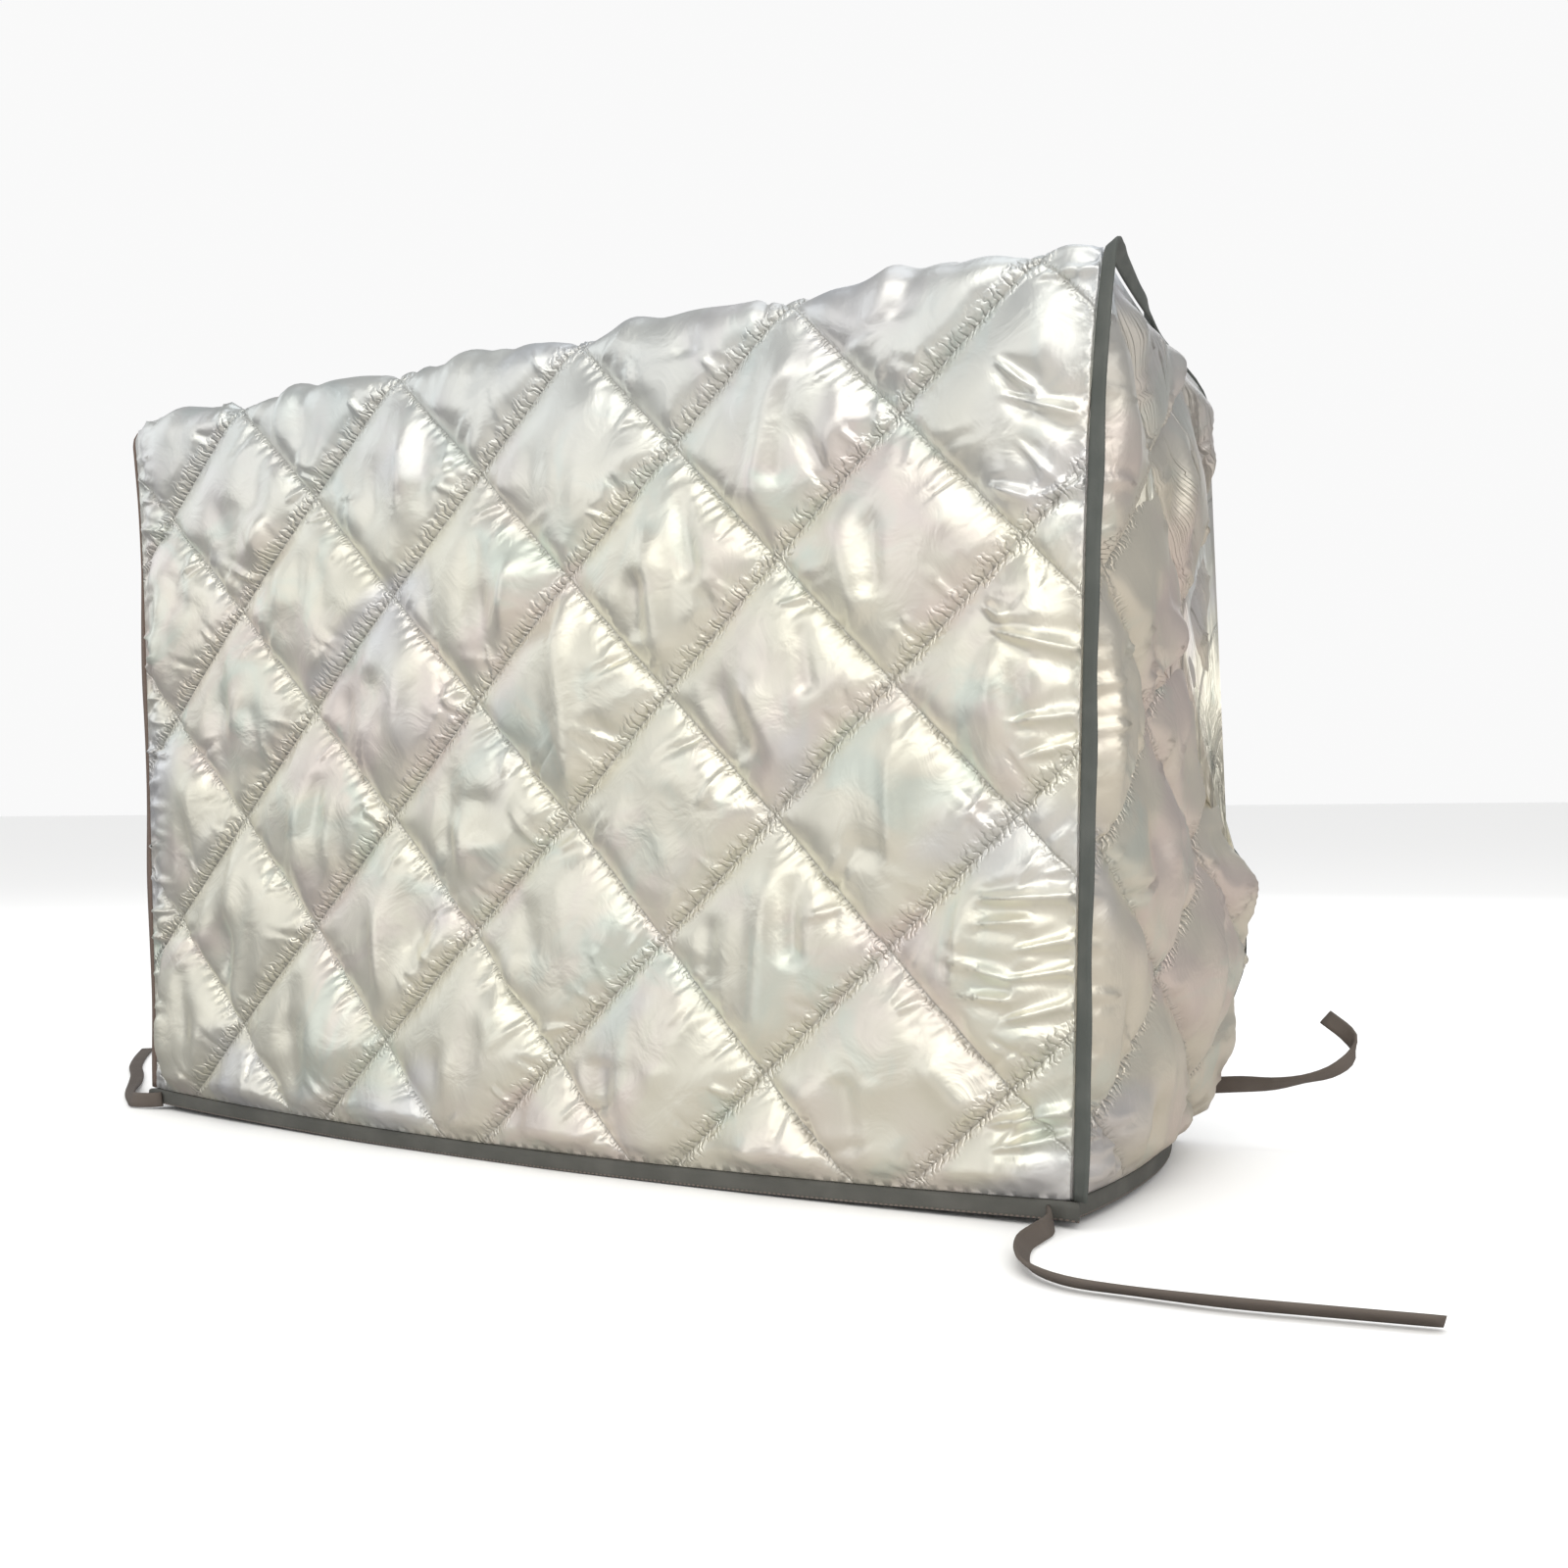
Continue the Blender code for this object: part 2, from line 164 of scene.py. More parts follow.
# y, z and outward y, z of the strip at many places along it.
def stripSection(along):
    up = along <= frontLength
    bendFront = (along > frontLength) & (along <= frontFold)
    top = (along > frontFold) & (along <= backFold)
    bendBack = (along > backFold) & (along <= backFold + arcLength)
    turnFront = (along - frontLength) / foldRadius
    turnBack = (along - backFold) / foldRadius
    topY = frontY + foldRadius + along - frontFold
    cases = [up, bendFront, top, bendBack]
    y = np.select(cases, [frontY, frontY + foldRadius * (1 - np.cos(turnFront)), topY,
                          backY - foldRadius + foldRadius * np.sin(turnBack)], backY)
    z = np.select(cases, [panelHemZ + along, cover["topZ"] - foldRadius + foldRadius * np.sin(turnFront),
                          topHeight(topY), backTopZ + foldRadius * np.cos(turnBack)],
                  panelHemZ + stripLength - along)
    outY = np.select(cases, [-1.0, -np.cos(turnFront), 0.0, np.sin(turnBack)], 1.0)
    outZ = np.select(cases, [0.0, np.sin(turnFront), 1.0, np.cos(turnBack)], 0.0)
    return y, z, outY, outZ


# The strip without its quilting: points and outward directions, across from -1 to 1.
def stripBase(across, along):
    y, z, outY, outZ = stripSection(along)
    left = sideX(-1, y, z)
    right = sideX(1, y, z)
    x = left + (right - left) * (across + 1) / 2
    crown = (1 - across**2) * smoothShare((cover["topZ"] - z) / cover["bellyReach"])
    low = smoothShare(1 - (z - panelHemZ) / cover["bellyReach"])
    y = y - np.where(outY < 0, crown * (cover["frontBelly"] + cover["hemBelly"] * low), 0)
    y = y + np.where(outY > 0, crown * cover["backBelly"], 0)
    z = z + hemLift(across, z)
    out = np.stack([np.zeros_like(y), outY, outZ], 1)
    return np.stack([x, y, z], 1), out


# Materials

def addGroup(name, inputs, outputs):
    group = bpy.data.node_groups.new(name, "ShaderNodeTree")
    for label, kind, value in inputs:
        socket = group.interface.new_socket(label, in_out="INPUT", socket_type=kind)
        if value is not None:
            socket.default_value = value
    for label, kind in outputs:
        group.interface.new_socket(label, in_out="OUTPUT", socket_type=kind)
    start = group.nodes.new("NodeGroupInput")
    end = group.nodes.new("NodeGroupOutput")
    return group, start, end


def addMath(tree, operation, a, b=None, c=None, clamp=False):
    node = tree.nodes.new("ShaderNodeMath")
    node.operation = operation
    node.use_clamp = clamp
    for slot, value in enumerate((a, b, c)):
        if value is None:
            continue
        if isinstance(value, (int, float)):
            node.inputs[slot].default_value = value
        else:
            tree.links.new(value, node.inputs[slot])
    return node.outputs[0]


def addNoise(tree, vector, scale, detail=2.0, roughness=0.5, distortion=0.0):
    node = tree.nodes.new("ShaderNodeTexNoise")
    node.inputs["Scale"].default_value = scale
    node.inputs["Detail"].default_value = detail
    node.inputs["Roughness"].default_value = roughness
    node.inputs["Distortion"].default_value = distortion
    tree.links.new(vector, node.inputs["Vector"])
    return node


def addRange(tree, value, low, high, newLow=0.0, newHigh=1.0, smooth=True):
    node = tree.nodes.new("ShaderNodeMapRange")
    node.interpolation_type = "SMOOTHSTEP" if smooth else "LINEAR"
    node.inputs["From Min"].default_value = low
    node.inputs["From Max"].default_value = high
    node.inputs["To Min"].default_value = newLow
    node.inputs["To Max"].default_value = newHigh
    tree.links.new(value, node.inputs["Value"])
    return node.outputs["Result"]


def addMix(tree, share, first, second, blend="MIX"):
    node = tree.nodes.new("ShaderNodeMix")
    node.data_type = "RGBA"
    node.blend_type = blend
    sockets = {s.identifier: s for s in node.inputs}
    for identifier, value in (("Factor_Float", share), ("A_Color", first), ("B_Color", second)):
        if isinstance(value, (int, float)):
            sockets[identifier].default_value = value
        elif isinstance(value, tuple):
            sockets[identifier].default_value = value
        else:
            tree.links.new(value, sockets[identifier])
    return next(s for s in node.outputs if s.identifier == "Result_Color")


# Tight puckers, stitches, and the masks of the painted shade along the seams and in the gaps between the
# puckers, from the panel's own quilt map
quiltRelief = {
    "diamondSide": 0.1107,  # metres along one seam between two crossings
    "risingPitch": 0.0047,  # the rope-like puckers along the rising seams
    "risingReach": (0.0060, 0.0110),
    "risingDepth": 0.00095,
    "fallingPitch": 0.0036,
    "fallingReach": (0.0015, 0.0060),
    "fallingDepth": 0.00030,
    "grooveDepth": 0.00060,
    "grooveReach": 0.0015,
    "wander": 0.012,  # share of a diamond's side by which a seam strays
    "drift": 0.014,
    "lean": 0.35,
    "lobePower": 0.8,
    "seamBand": (0.0005, 0.0050),
    "gapShadeBand": (0.0006, 0.0030),
    "lineBand": (0.0002, 0.0010),
    "lineShare": 0.6,
}


def makeQuiltGroup(settings):
    group, start, end = addGroup(
        "quiltSeams",
        [("Map", "NodeSocketVector", None)],
        [("Height", "NodeSocketFloat"), ("Seam", "NodeSocketFloat"), ("StitchAndGapShade", "NodeSocketFloat")],
    )
    side = settings["diamondSide"]
    quiltMap = start.outputs["Map"]
    split = group.nodes.new("ShaderNodeSeparateXYZ")
    group.links.new(quiltMap, split.inputs[0])
    first, second = split.outputs[0], split.outputs[1]
    wander = addNoise(group, quiltMap, 9.0, 2.0).outputs["Fac"]
    wander = addMath(group, "MULTIPLY_ADD", wander, settings["wander"], -settings["wander"] / 2)
    lengths = addNoise(group, quiltMap, 11.0, 3.0).outputs["Fac"]
    drift = addNoise(group, quiltMap, 14.0, 2.0).outputs["Fac"]
    drift = addMath(group, "MULTIPLY", drift, settings["drift"])
    heights = []
    seams = []
    stitchesAndGapShade = []
    for kind, across, along in (("rising", first, second), ("falling", second, first)):
        offset = addMath(group, "SUBTRACT", across, addMath(group, "ROUND", across))
        distance = addMath(group, "MULTIPLY", addMath(group, "ADD", offset, wander), side)
        away = addMath(group, "ABSOLUTE", distance)
        run = addMath(group, "MULTIPLY_ADD", along, side, drift)
        shortest, longest = settings[kind + "Reach"]
        reach = addRange(group, lengths, 0.32, 0.68, shortest, longest)
        window = addMath(group, "SUBTRACT", 1.0, addMath(group, "DIVIDE", away, reach), clamp=True)
        window = addRange(group, window, 0.0, 0.65)
        turns = addMath(group, "MULTIPLY_ADD", distance, settings["lean"], run)
        lobe = addMath(group, "SINE", addMath(group, "MULTIPLY", turns, math.pi / settings[kind + "Pitch"]))
        lobe = addMath(group, "POWER", addMath(group, "ABSOLUTE", lobe), settings["lobePower"])
        pucker = addMath(group, "MULTIPLY", lobe, window)
        pucker = addMath(group, "MULTIPLY", pucker, settings[kind + "Depth"])
        groove = addRange(group, away, 0.0, settings["grooveReach"], 1.0, 0.0)
        heights.append(addMath(group, "MULTIPLY_ADD", groove, -settings["grooveDepth"], pucker))
        seams.append(addRange(group, away, *settings["seamBand"], 1.0, 0.0))
        # Painted shade in the gaps between the puckers beside the seam; the stitch line is added to it below
        gap = addMath(group, "SUBTRACT", 1.0, lobe, clamp=True)
        gap = addRange(group, gap, 0.35, 0.85)
        gap = addMath(group, "MULTIPLY", gap, addRange(group, away, *settings["gapShadeBand"], 1.0, 0.0))
        line = addRange(group, away, *settings["lineBand"], 1.0, 0.0)
        line = addMath(group, "MULTIPLY", line, settings["lineShare"])
        stitchesAndGapShade.append(addMath(group, "MAXIMUM", gap, line))
    group.links.new(addMath(group, "ADD", heights[0], heights[1]), end.inputs["Height"])
    group.links.new(addMath(group, "MAXIMUM", seams[0], seams[1]), end.inputs["Seam"])
    group.links.new(addMath(group, "MAXIMUM", stitchesAndGapShade[0], stitchesAndGapShade[1]), end.inputs["StitchAndGapShade"])
    return group


quiltGroup = makeQuiltGroup(quiltRelief)


def readMap(tree, name):
    node = tree.nodes.new("ShaderNodeAttribute")
    node.attribute_type = "GEOMETRY"
    node.attribute_name = name
    return node.outputs["Vector"]


def newMaterial(name):
    material = bpy.data.materials.new(name)
    material.use_nodes = True
    return material, material.node_tree, material.node_tree.nodes["Principled BSDF"]


# Pearl satin of the quilted panels
silverCloth = {
    "cream": (0.835, 0.812, 0.705, 1),
    # Rose, mint, lilac: colour; the noise's scale, detail, roughness, distortion; where it starts and is full
    "tones": (
        ((0.820, 0.745, 0.695, 1), 9.0, 3.0, 0.55, 0.6, 0.45, 0.68),
        ((0.755, 0.795, 0.715, 1), 14.0, 3.0, 0.55, 0.8, 0.52, 0.72),
        ((0.755, 0.752, 0.760, 1), 6.5, 2.0, 0.5, 0.5, 0.53, 0.70),
    ),
    "coolTopShade": (0.700, 0.735, 0.765, 1),  # painted shade: the top turns a darker blue-grey
    "coolTopShadeHeights": (-0.14, 0.00),
    "coolTopShadeShare": 0.55,
    "seamShade": (0.58, 0.58, 0.54, 1),
    # The stitch colour is used both for the stitch lines and for the painted shade in the gaps between the
    # puckers
    "stitch": (0.40, 0.39, 0.35, 1),
    "seamShare": 0.22,
    "stitchAndGapShadeShare": 0.42,
    "metallic": 0.80,
    "roughness": (0.36, 0.47),
    "crumple": 0.0011,
    "weave": 0.00002,
}


def makeSilver(name, settings, shadeTint=(1, 1, 1, 1)):
    material, tree, shader = newMaterial(name)
    quiltMap = readMap(tree, "quiltMap")
    quilt = tree.nodes.new("ShaderNodeGroup")
    quilt.node_tree = quiltGroup
    tree.links.new(quiltMap, quilt.inputs["Map"])
    place = tree.nodes.new("ShaderNodeTexCoord").outputs["Object"]
    colour = settings["cream"]
    for tone, scale, detail, roughness, distortion, low, high in settings["tones"]:
        noise = addNoise(tree, place, scale, detail, roughness, distortion)
        colour = addMix(tree, addRange(tree, noise.outputs["Fac"], low, high), colour, tone)
    # Painted shade: towards its top the cloth is mixed into a darker blue-grey, as cool light from above
    # would shade it
    spot = tree.nodes.new("ShaderNodeSeparateXYZ")
    tree.links.new(place, spot.inputs[0])
    coolTopShade = addRange(tree, spot.outputs[2], *settings["coolTopShadeHeights"], 0.0, settings["coolTopShadeShare"])
    colour = addMix(tree, coolTopShade, colour, settings["coolTopShade"])
    shade = addMath(tree, "MULTIPLY", quilt.outputs["Seam"], settings["seamShare"])
    colour = addMix(tree, shade, colour, settings["seamShade"])
    # Stitch lines, together with the painted shade in the gaps between the puckers
    stitch = addMath(tree, "MULTIPLY", quilt.outputs["StitchAndGapShade"], settings["stitchAndGapShadeShare"])
    colour = addMix(tree, stitch, colour, settings["stitch"])
    # Painted shade: the side panels' copy is multiplied darker and pinker
    colour = addMix(tree, 1.0, colour, shadeTint, "MULTIPLY")
    tree.links.new(colour, shader.inputs["Base Color"])
    shader.inputs["Metallic"].default_value = settings["metallic"]
    rough = addNoise(tree, place, 30.0, 3.0)
    rough = addRange(tree, rough.outputs["Fac"], 0.3, 0.7, *settings["roughness"])
    tree.links.new(rough, shader.inputs["Roughness"])
    crumple = addNoise(tree, place, 38.0, 3.0, 0.55, 0.9)
    crumple = addMath(tree, "MULTIPLY", crumple.outputs["Fac"], settings["crumple"])
    weave = addNoise(tree, place, 900.0, 1.0)
    weave = addMath(tree, "MULTIPLY", weave.outputs["Fac"], settings["weave"])
    height = addMath(tree, "ADD", addMath(tree, "ADD", quilt.outputs["Height"], crumple), weave)
    bump = tree.nodes.new("ShaderNodeBump")
    bump.inputs["Distance"].default_value = 1.0
    bump.inputs["Strength"].default_value = 1.0
    tree.links.new(height, bump.inputs["Height"])
    tree.links.new(bump.outputs["Normal"], shader.inputs["Normal"])
    return material


# Woven tape of the bindings and ties
darkTape = {
    "thread": (0.070, 0.078, 0.070, 1),
    "worn": (0.098, 0.104, 0.094, 1),
    "brown": (0.150, 0.092, 0.068, 1),
    # painted shade between the threads of the weave
    "between": (0.02, 0.02, 0.02, 1),
    "stitch": (0.30, 0.23, 0.20, 1),
    "pitch": 0.0011,
    "stitchPitch": 0.0032,
    "creases": 0.0007,
    "roughness": 0.72,
}


def makeTape(name, settings, brownShare, stitched):
    material, tree, shader = newMaterial(name)
    split = tree.nodes.new("ShaderNodeSeparateXYZ")
    tree.links.new(readMap(tree, "tapeMap"), split.inputs[0])
    along, across = split.outputs[0], split.outputs[1]
    place = tree.nodes.new("ShaderNodeTexCoord").outputs["Object"]
    ribs = addMath(tree, "SINE", addMath(tree, "MULTIPLY", along, 2 * math.pi / settings["pitch"]))
    threads = addMath(tree, "SINE", addMath(tree, "MULTIPLY", across, 2 * math.pi / settings["pitch"]))
    weave = addMath(tree, "MULTIPLY", ribs, threads)
    patches = addNoise(tree, place, 35.0, 3.0)
    worn = addRange(tree, patches.outputs["Fac"], 0.4, 0.75)
    colour = addMix(tree, worn, settings["thread"], settings["worn"])
    colour = addMix(tree, brownShare, colour, settings["brown"])
    # Painted shade: the weave's low places between the threads are darkened
    colour = addMix(tree, addRange(tree, weave, -1.0, 1.0, 0.0, 0.22, False), colour, settings["between"])
    height = addMath(tree, "MULTIPLY", weave, 0.00005)
    if stitched:
        line = addMath(tree, "ABSOLUTE", addMath(tree, "SUBTRACT", across, stitched))
        line = addRange(tree, line, 0.00025, 0.00075, 1.0, 0.0)
        dash = addMath(tree, "SINE", addMath(tree, "MULTIPLY", along, 2 * math.pi / settings["stitchPitch"]))
        line = addMath(tree, "MULTIPLY", line, addRange(tree, dash, -0.5, 0.2))
        colour = addMix(tree, addMath(tree, "MULTIPLY", line, 0.6), colour, settings["stitch"])
        height = addMath(tree, "SUBTRACT", height, addMath(tree, "MULTIPLY", line, 0.0003))
    tree.links.new(colour, shader.inputs["Base Color"])
    shader.inputs["Roughness"].default_value = settings["roughness"]
    creases = addNoise(tree, place, 60.0, 3.0)
    creases = addMath(tree, "MULTIPLY", creases.outputs["Fac"], settings["creases"])
    height = addMath(tree, "ADD", height, creases)
    bump = tree.nodes.new("ShaderNodeBump")
    bump.inputs["Distance"].default_value = 1.0
    tree.links.new(height, bump.inputs["Height"])
    tree.links.new(bump.outputs["Normal"], shader.inputs["Normal"])
    return material


silverMaterial = makeSilver("silverQuilt", silverCloth)
# The side panels get a darker, pinker copy of the satin: painted shade
shadedSideMaterial = makeSilver("silverSideShaded", silverCloth, (0.94, 0.905, 0.89, 1))
bindingMaterial = makeTape("bindingTape", darkTape, 0.0, 0.0)
leftBindingMaterial = makeTape("leftBindingTape", darkTape, 0.75, 0.0)
hemMaterial = makeTape("hemTape", darkTape, 0.12, 0.0045)
tieMaterial = makeTape("tieTape", darkTape, 0.45, 0.0)
print("materials made")


def makeObject(name, form, material):
    mesh = bpy.data.meshes.new(name)
    form.to_mesh(mesh)
    form.free()
    obj = bpy.data.objects.new(name, mesh)
    mesh.materials.append(material)
    mesh.shade_smooth()
    bpy.context.scene.collection.objects.link(obj)
    return obj


def storeMap(obj, name, values):
    layer = obj.data.attributes.new(name, "FLOAT_VECTOR", "POINT")
    layer.data.foreach_set("vector", np.asarray(values, np.float32).ravel())


# A folded tape's section, in shares of half its width and thickness: flat faces, rounded long edges
halfSection = ((1.0, 0.35), (0.93, 0.85), (0.6, 1.0), (0.15, 0.93), (-0.35, 1.0), (-0.8, 0.92), (-1.0, 0.4))
tapeSection = halfSection + tuple((-w, -t) for w, t in halfSection)


# A tape or tie swept along its stations: each a centre, and half its width and thickness as directions
def sweepTape(name, stations, material, closed=False):
    form = bmesh.new()
    around = len(tapeSection)
    rows = len(stations) + closed
    bmesh.ops.create_grid(form, x_segments=around, y_segments=rows - 1, size=0.5)
    form.verts.ensure_lookup_table()
    grid = [form.verts[row * (around + 1):(row + 1) * (around + 1)] for row in range(rows)]
    welds = {line[-1]: line[0] for line in grid}
    if closed:
        welds.update(zip(grid[-1], grid[0][:-1] + grid[0][:1]))
    bmesh.ops.weld_verts(form, targetmap=welds)
    places = []
    travelled = 0.0
    for count, (ring, (centre, wide, thick)) in enumerate(zip(grid, stations)):
        if count:
            travelled += (centre - stations[count - 1][0]).length
        for vert, (w, t) in zip(ring, tapeSection):
            vert.co = centre + wide * w + thick * t
            places.append((vert, travelled, w * wide.length))
    if not closed:
        bmesh.ops.holes_fill(form, edges=[e for e in form.edges if e.is_boundary], sides=0)
    bmesh.ops.recalc_face_normals(form, faces=form.faces)
    form.verts.index_update()
    values = np.zeros((len(form.verts), 3))
    for vert, length, across in places:
        values[vert.index] = (length, across, 0)
    obj = makeObject(name, form, material)
    storeMap(obj, "tapeMap", values)
    return obj


# Ties: x, y, z along the tape's middle, and the tilt of its width from upright in degrees
tie = {"width": 0.011, "thick": 0.0024, "step": 0.006, "floor": 0.0004}
frontRightTie = (
    (0.3780, -0.1434, -0.5110, 0),
    (0.3850, -0.1530, -0.5120, 10),
    (0.3892, -0.1646, -0.5120, 20),
    (0.3915, -0.1830, -0.5130, 30),
    (0.3950, -0.2030, -0.5140, 40),
    (0.4081, -0.2300, -0.5145, 45),
    (0.4240, -0.2481, -0.5150, 50),
    (0.4480, -0.2590, -0.5155, 55),
    (0.4780, -0.2580, -0.5155, 60),
    (0.5239, -0.2545, -0.5150, 55),
    (0.5657, -0.2454, -0.5150, 55),
    (0.6158, -0.2338, -0.5150, 55),
)
frontLeftTie = (
    (-0.3800, -0.1435, -0.5100, 0),
    (-0.3900, -0.1470, -0.5110, 0),
    (-0.4060, -0.1500, -0.5115, 10),
    (-0.4280, -0.1360, -0.5130, 30),
    (-0.4620, -0.1110, -0.5150, 60),
    (-0.5050, -0.0760, -0.5165, 85),
    (-0.5480, -0.0420, -0.5165, 90),
    (-0.5960, -0.0080, -0.5165, 90),
    (-0.6440, 0.0320, -0.5165, 90),
    (-0.6900, 0.0740, -0.5165, 90),
)
backRightTie = (
    (0.3494, 0.1462, -0.4800, 0),
    (0.3580, 0.1480, -0.4790, 0),
    (0.3740, 0.1500, -0.4775, 10),
    (0.3940, 0.1520, -0.4760, 40),
    (0.4130, 0.1560, -0.4720, 60),
    (0.4290, 0.1620, -0.4670, 40),
    (0.4390, 0.1700, -0.4590, 15),
    (0.4400, 0.1780, -0.4510, 10),
    (0.4330, 0.1840, -0.4435, 20),
    (0.4170, 0.1890, -0.4340, 35),
)


def smoothRoute(table, step):
    rows = [Vector((*row[:3], row[3] / 100)) for row in table]
    rows = [rows[0] * 2 - rows[1], *rows, rows[-1] * 2 - rows[-2]]
    route = []
    for a, b, c, d in zip(rows, rows[1:], rows[2:], rows[3:]):
        pieces = max(2, round(Vector((c - b)[:3]).length / step))
        for piece in range(pieces):
            t = piece / pieces
            bend = (2 * a - 5 * b + 4 * c - d) * t**2 + (3 * b - a - 3 * c + d) * t**3
            route.append(b + (c - a) * t / 2 + bend / 2)
    route.append(rows[-2])
    return [(Vector(point[:3]), math.radians(point[3] * 100)) for point in route]


def makeTie(name, node, table):
    route = smoothRoute(table, tie["step"])
    stations = []
    for count, (point, tilt) in enumerate(route):
        before = route[max(count - 1, 0)][0]
        after = route[min(count + 1, len(route) - 1)][0]
        heading = (after - before).normalized()
        level = heading.cross(Vector((0, 0, 1))).normalized()
        upright = level.cross(heading).normalized()
        wide = upright * math.cos(tilt) + level * math.sin(tilt)
        reach = tie["width"] / 2 * math.cos(tilt) + tie["thick"] / 2 * math.sin(tilt)
        point.z = max(point.z, cover["hemZ"] + reach + tie["floor"])
        stations.append((point, wide * tie["width"] / 2, wide.cross(heading) * tie["thick"] / 2))
    obj = sweepTape(name, stations, tieMaterial)
    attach(obj, "root")
    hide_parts(node)


makeTie("frontRightTie", "tie_front_right", frontRightTie)
makeTie("frontLeftTie", "tie_front_left", frontLeftTie)
makeTie("backRightTie", "tie_back_right", backRightTie)
print("ties made")

# Bindings of the two side seams: share of the strip's length, lean in degrees from straight out
binding = {"width": 0.0100, "thick": 0.0026, "clearance": 0.0008, "roll": 0.0043, "leanOver": 60,
           "footLift": 0.0010, "step": 0.0060, "wave": 0.0007}
rightLean = (
    (0.00, 16),
    (0.30, 14),
    (0.392, 17),
    (0.410, 26),
    (0.445, 62),
    (0.488, 84),
    (0.548, 150),
    (0.825, 150),
    (0.856, 96),
    (0.885, 150),
    (1.00, 150),
)
leftLean = (
    (0.00, -24),
    (0.28, -27),
    (0.35, -38),
    (1.00, -38),
)


def makeBinding(name, node, side, leans, material):
    steps = round(stripLength / binding["step"])
    along = np.linspace(0, stripLength, steps + 1)
    y, z, outY, outZ = stripSection(along)
    degrees = tableColumn(leans, along / stripLength, 1)
    lean = np.radians(degrees)
    over = np.maximum(degrees - 90, 0) / binding["leanOver"]
    turned = np.abs(np.sin(lean))
    beside = binding["clearance"] * (1 + turned) + binding["thick"] / 2 * turned
    beside = beside * (1 - over) - cover["seamThickness"] / 2 * over
    above = binding["roll"] * np.sin(np.minimum(2 * over, 1) * math.pi / 2) - cover["seamThickness"] / 2
    x = sideX(side, y, z)
    z = z + hemLift(1, z)
    z[-1] += binding["footLift"]
    stations = []
    for k in range(steps + 1):
        outward = Vector((0, outY[k], outZ[k]))
        out = Vector((side, 0, 0))
        root = Vector((x[k], y[k], z[k])) + out * beside[k] + outward * above[k]
        wave = binding["wave"] * math.sin(along[k] * 61) * math.sin(along[k] * 23 + 1)
        turn = lean[k] + math.radians(4) * math.sin(along[k] * 37 + 2)
        stance = out * math.cos(turn) + outward * math.sin(turn)
        square = out * -math.sin(turn) + outward * math.cos(turn)
        wide = stance * (binding["width"] + wave) / 2
        stations.append((root + wide, wide, square * binding["thick"] / 2))
    obj = sweepTape(name, stations, material)
    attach(obj, "root")
    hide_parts(node)


makeBinding("rightBinding", "seam_binding_right", 1, rightLean, bindingMaterial)
makeBinding("leftBinding", "seam_binding_left", -1, leftLean, leftBindingMaterial)

# Hem binding, a folded tape all round under the panels
hem = {"width": 0.0110, "thick": 0.0036, "corner": 0.0040, "cornerRun": 0.009, "cornerShare": 0.016,
       "step": 0.008, "wave": 0.0006}


def ringStops(start, end, count, inset):
    run = end - start
    step = math.copysign(inset, run)
    return [start + step + (run - 2 * step) * i / (count - 1) for i in range(count)]


def hemRing():
    inner = cover["seamThickness"] / 2
    height = panelHemZ + cover["hemLift"]
    ring = []

    def corner(side, y):
        x = float(sideX(-side, y, panelHemZ)) - side * hem["corner"]
        return Vector((x, y + math.copysign(inner, y), height))

    for side, y, along in ((-1, frontY, 0.0), (1, backY, stripLength)):
        stops = np.array(ringStops(side, -side, 90, hem["cornerShare"]))
        points, out = stripBase(stops, np.full_like(stops, along))
        for point, outward in zip(points, out):
            ring.append(Vector(point) - Vector(outward) * inner)
        ring.append(corner(side, y))
        for stop in ringStops(y, -y, 33, hem["cornerRun"]):
            edge = float(sideX(-side, stop, panelHemZ)) + side * inner
            ring.append(Vector((edge, stop, height)))
        ring.append(corner(side, -y))
    return ring


def makeHem():
    ring = hemRing()
    ring = ring[-20:] + ring[:-20]  # the join lies at the back of the left side
    stations = []
    count = len(ring)
    for k, point in enumerate(ring):
        ahead = (ring[(k + 1) % count] - point).normalized()
        behind = (point - ring[k - 1]).normalized()
        heading = ahead + behind
        heading.z = 0
        heading.normalize()
        square = Vector((heading.y, -heading.x, 0))
        mitre = 1 / max(0.6, heading.dot(Vector((ahead.x, ahead.y, 0)).normalized()))
        wave = hem["wave"] * math.sin(k * 0.21) * math.sin(k * 0.083 + 2)
        down = Vector((0, 0, -1))
        wide = down * (hem["width"] / 2 - cover["gap"] / 4)
        centre = point + down * (cover["gap"] + hem["width"] / 2) + square * wave
        stations.append((centre, wide, square * hem["thick"] / 2 * mitre))
    obj = sweepTape("hemBinding", stations, hemMaterial, closed=True)
    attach(obj, "root")
    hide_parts("hem_binding")


makeHem()
print("bindings made")

# Quilting: the crossings' places, and how the wadding fills each diamond
quilt = {
    "diamondWidth": 0.160,
    "diamondHeight": 0.153,
    "firstColumn": -0.278,
    "firstRow": 0.012,
    "sideFirstColumn": -0.032,
    "sideFirstRow": -0.0815,
    "loft": 0.0150,
    "roundShare": 0.40,  # of the loft: a round pillow; the rest stands up close to the seams
    "foldFlatten": 0.42,  # share of the loft lost where the cloth bends over the top's front edge
    "foldSpread": 0.035,
    "liningLoft": 0.003,
    "edgeReach": 0.024,
    "hemReach": 0.015,
    "panelGap": 0.0017,
}
# How far from each seam of a diamond the cloth is still rising, in metres
shoulder = {"lowerRight": 0.020, "upperLeft": 0.048, "upperRight": 0.034, "lowerLeft": 0.015, "slump": 0.011}
# Gathers beside the stitching: on the rising seams short and close, on the falling ones wide and shallow
gather = {
    "closePitch": 0.0086,
    "closeDepth": 0.00110,
    "closeReach": 0.0125,
    "widePitch": 0.0092,
    "wideDepth": 0.00115,
    "wideReach": 0.0155,
}
halfColumn = quilt["diamondWidth"] / 2
halfRow = quilt["diamondHeight"] / 2
seamSide = math.hypot(halfColumn, halfRow)
stripPhase = quilt["firstRow"] - panelHemZ

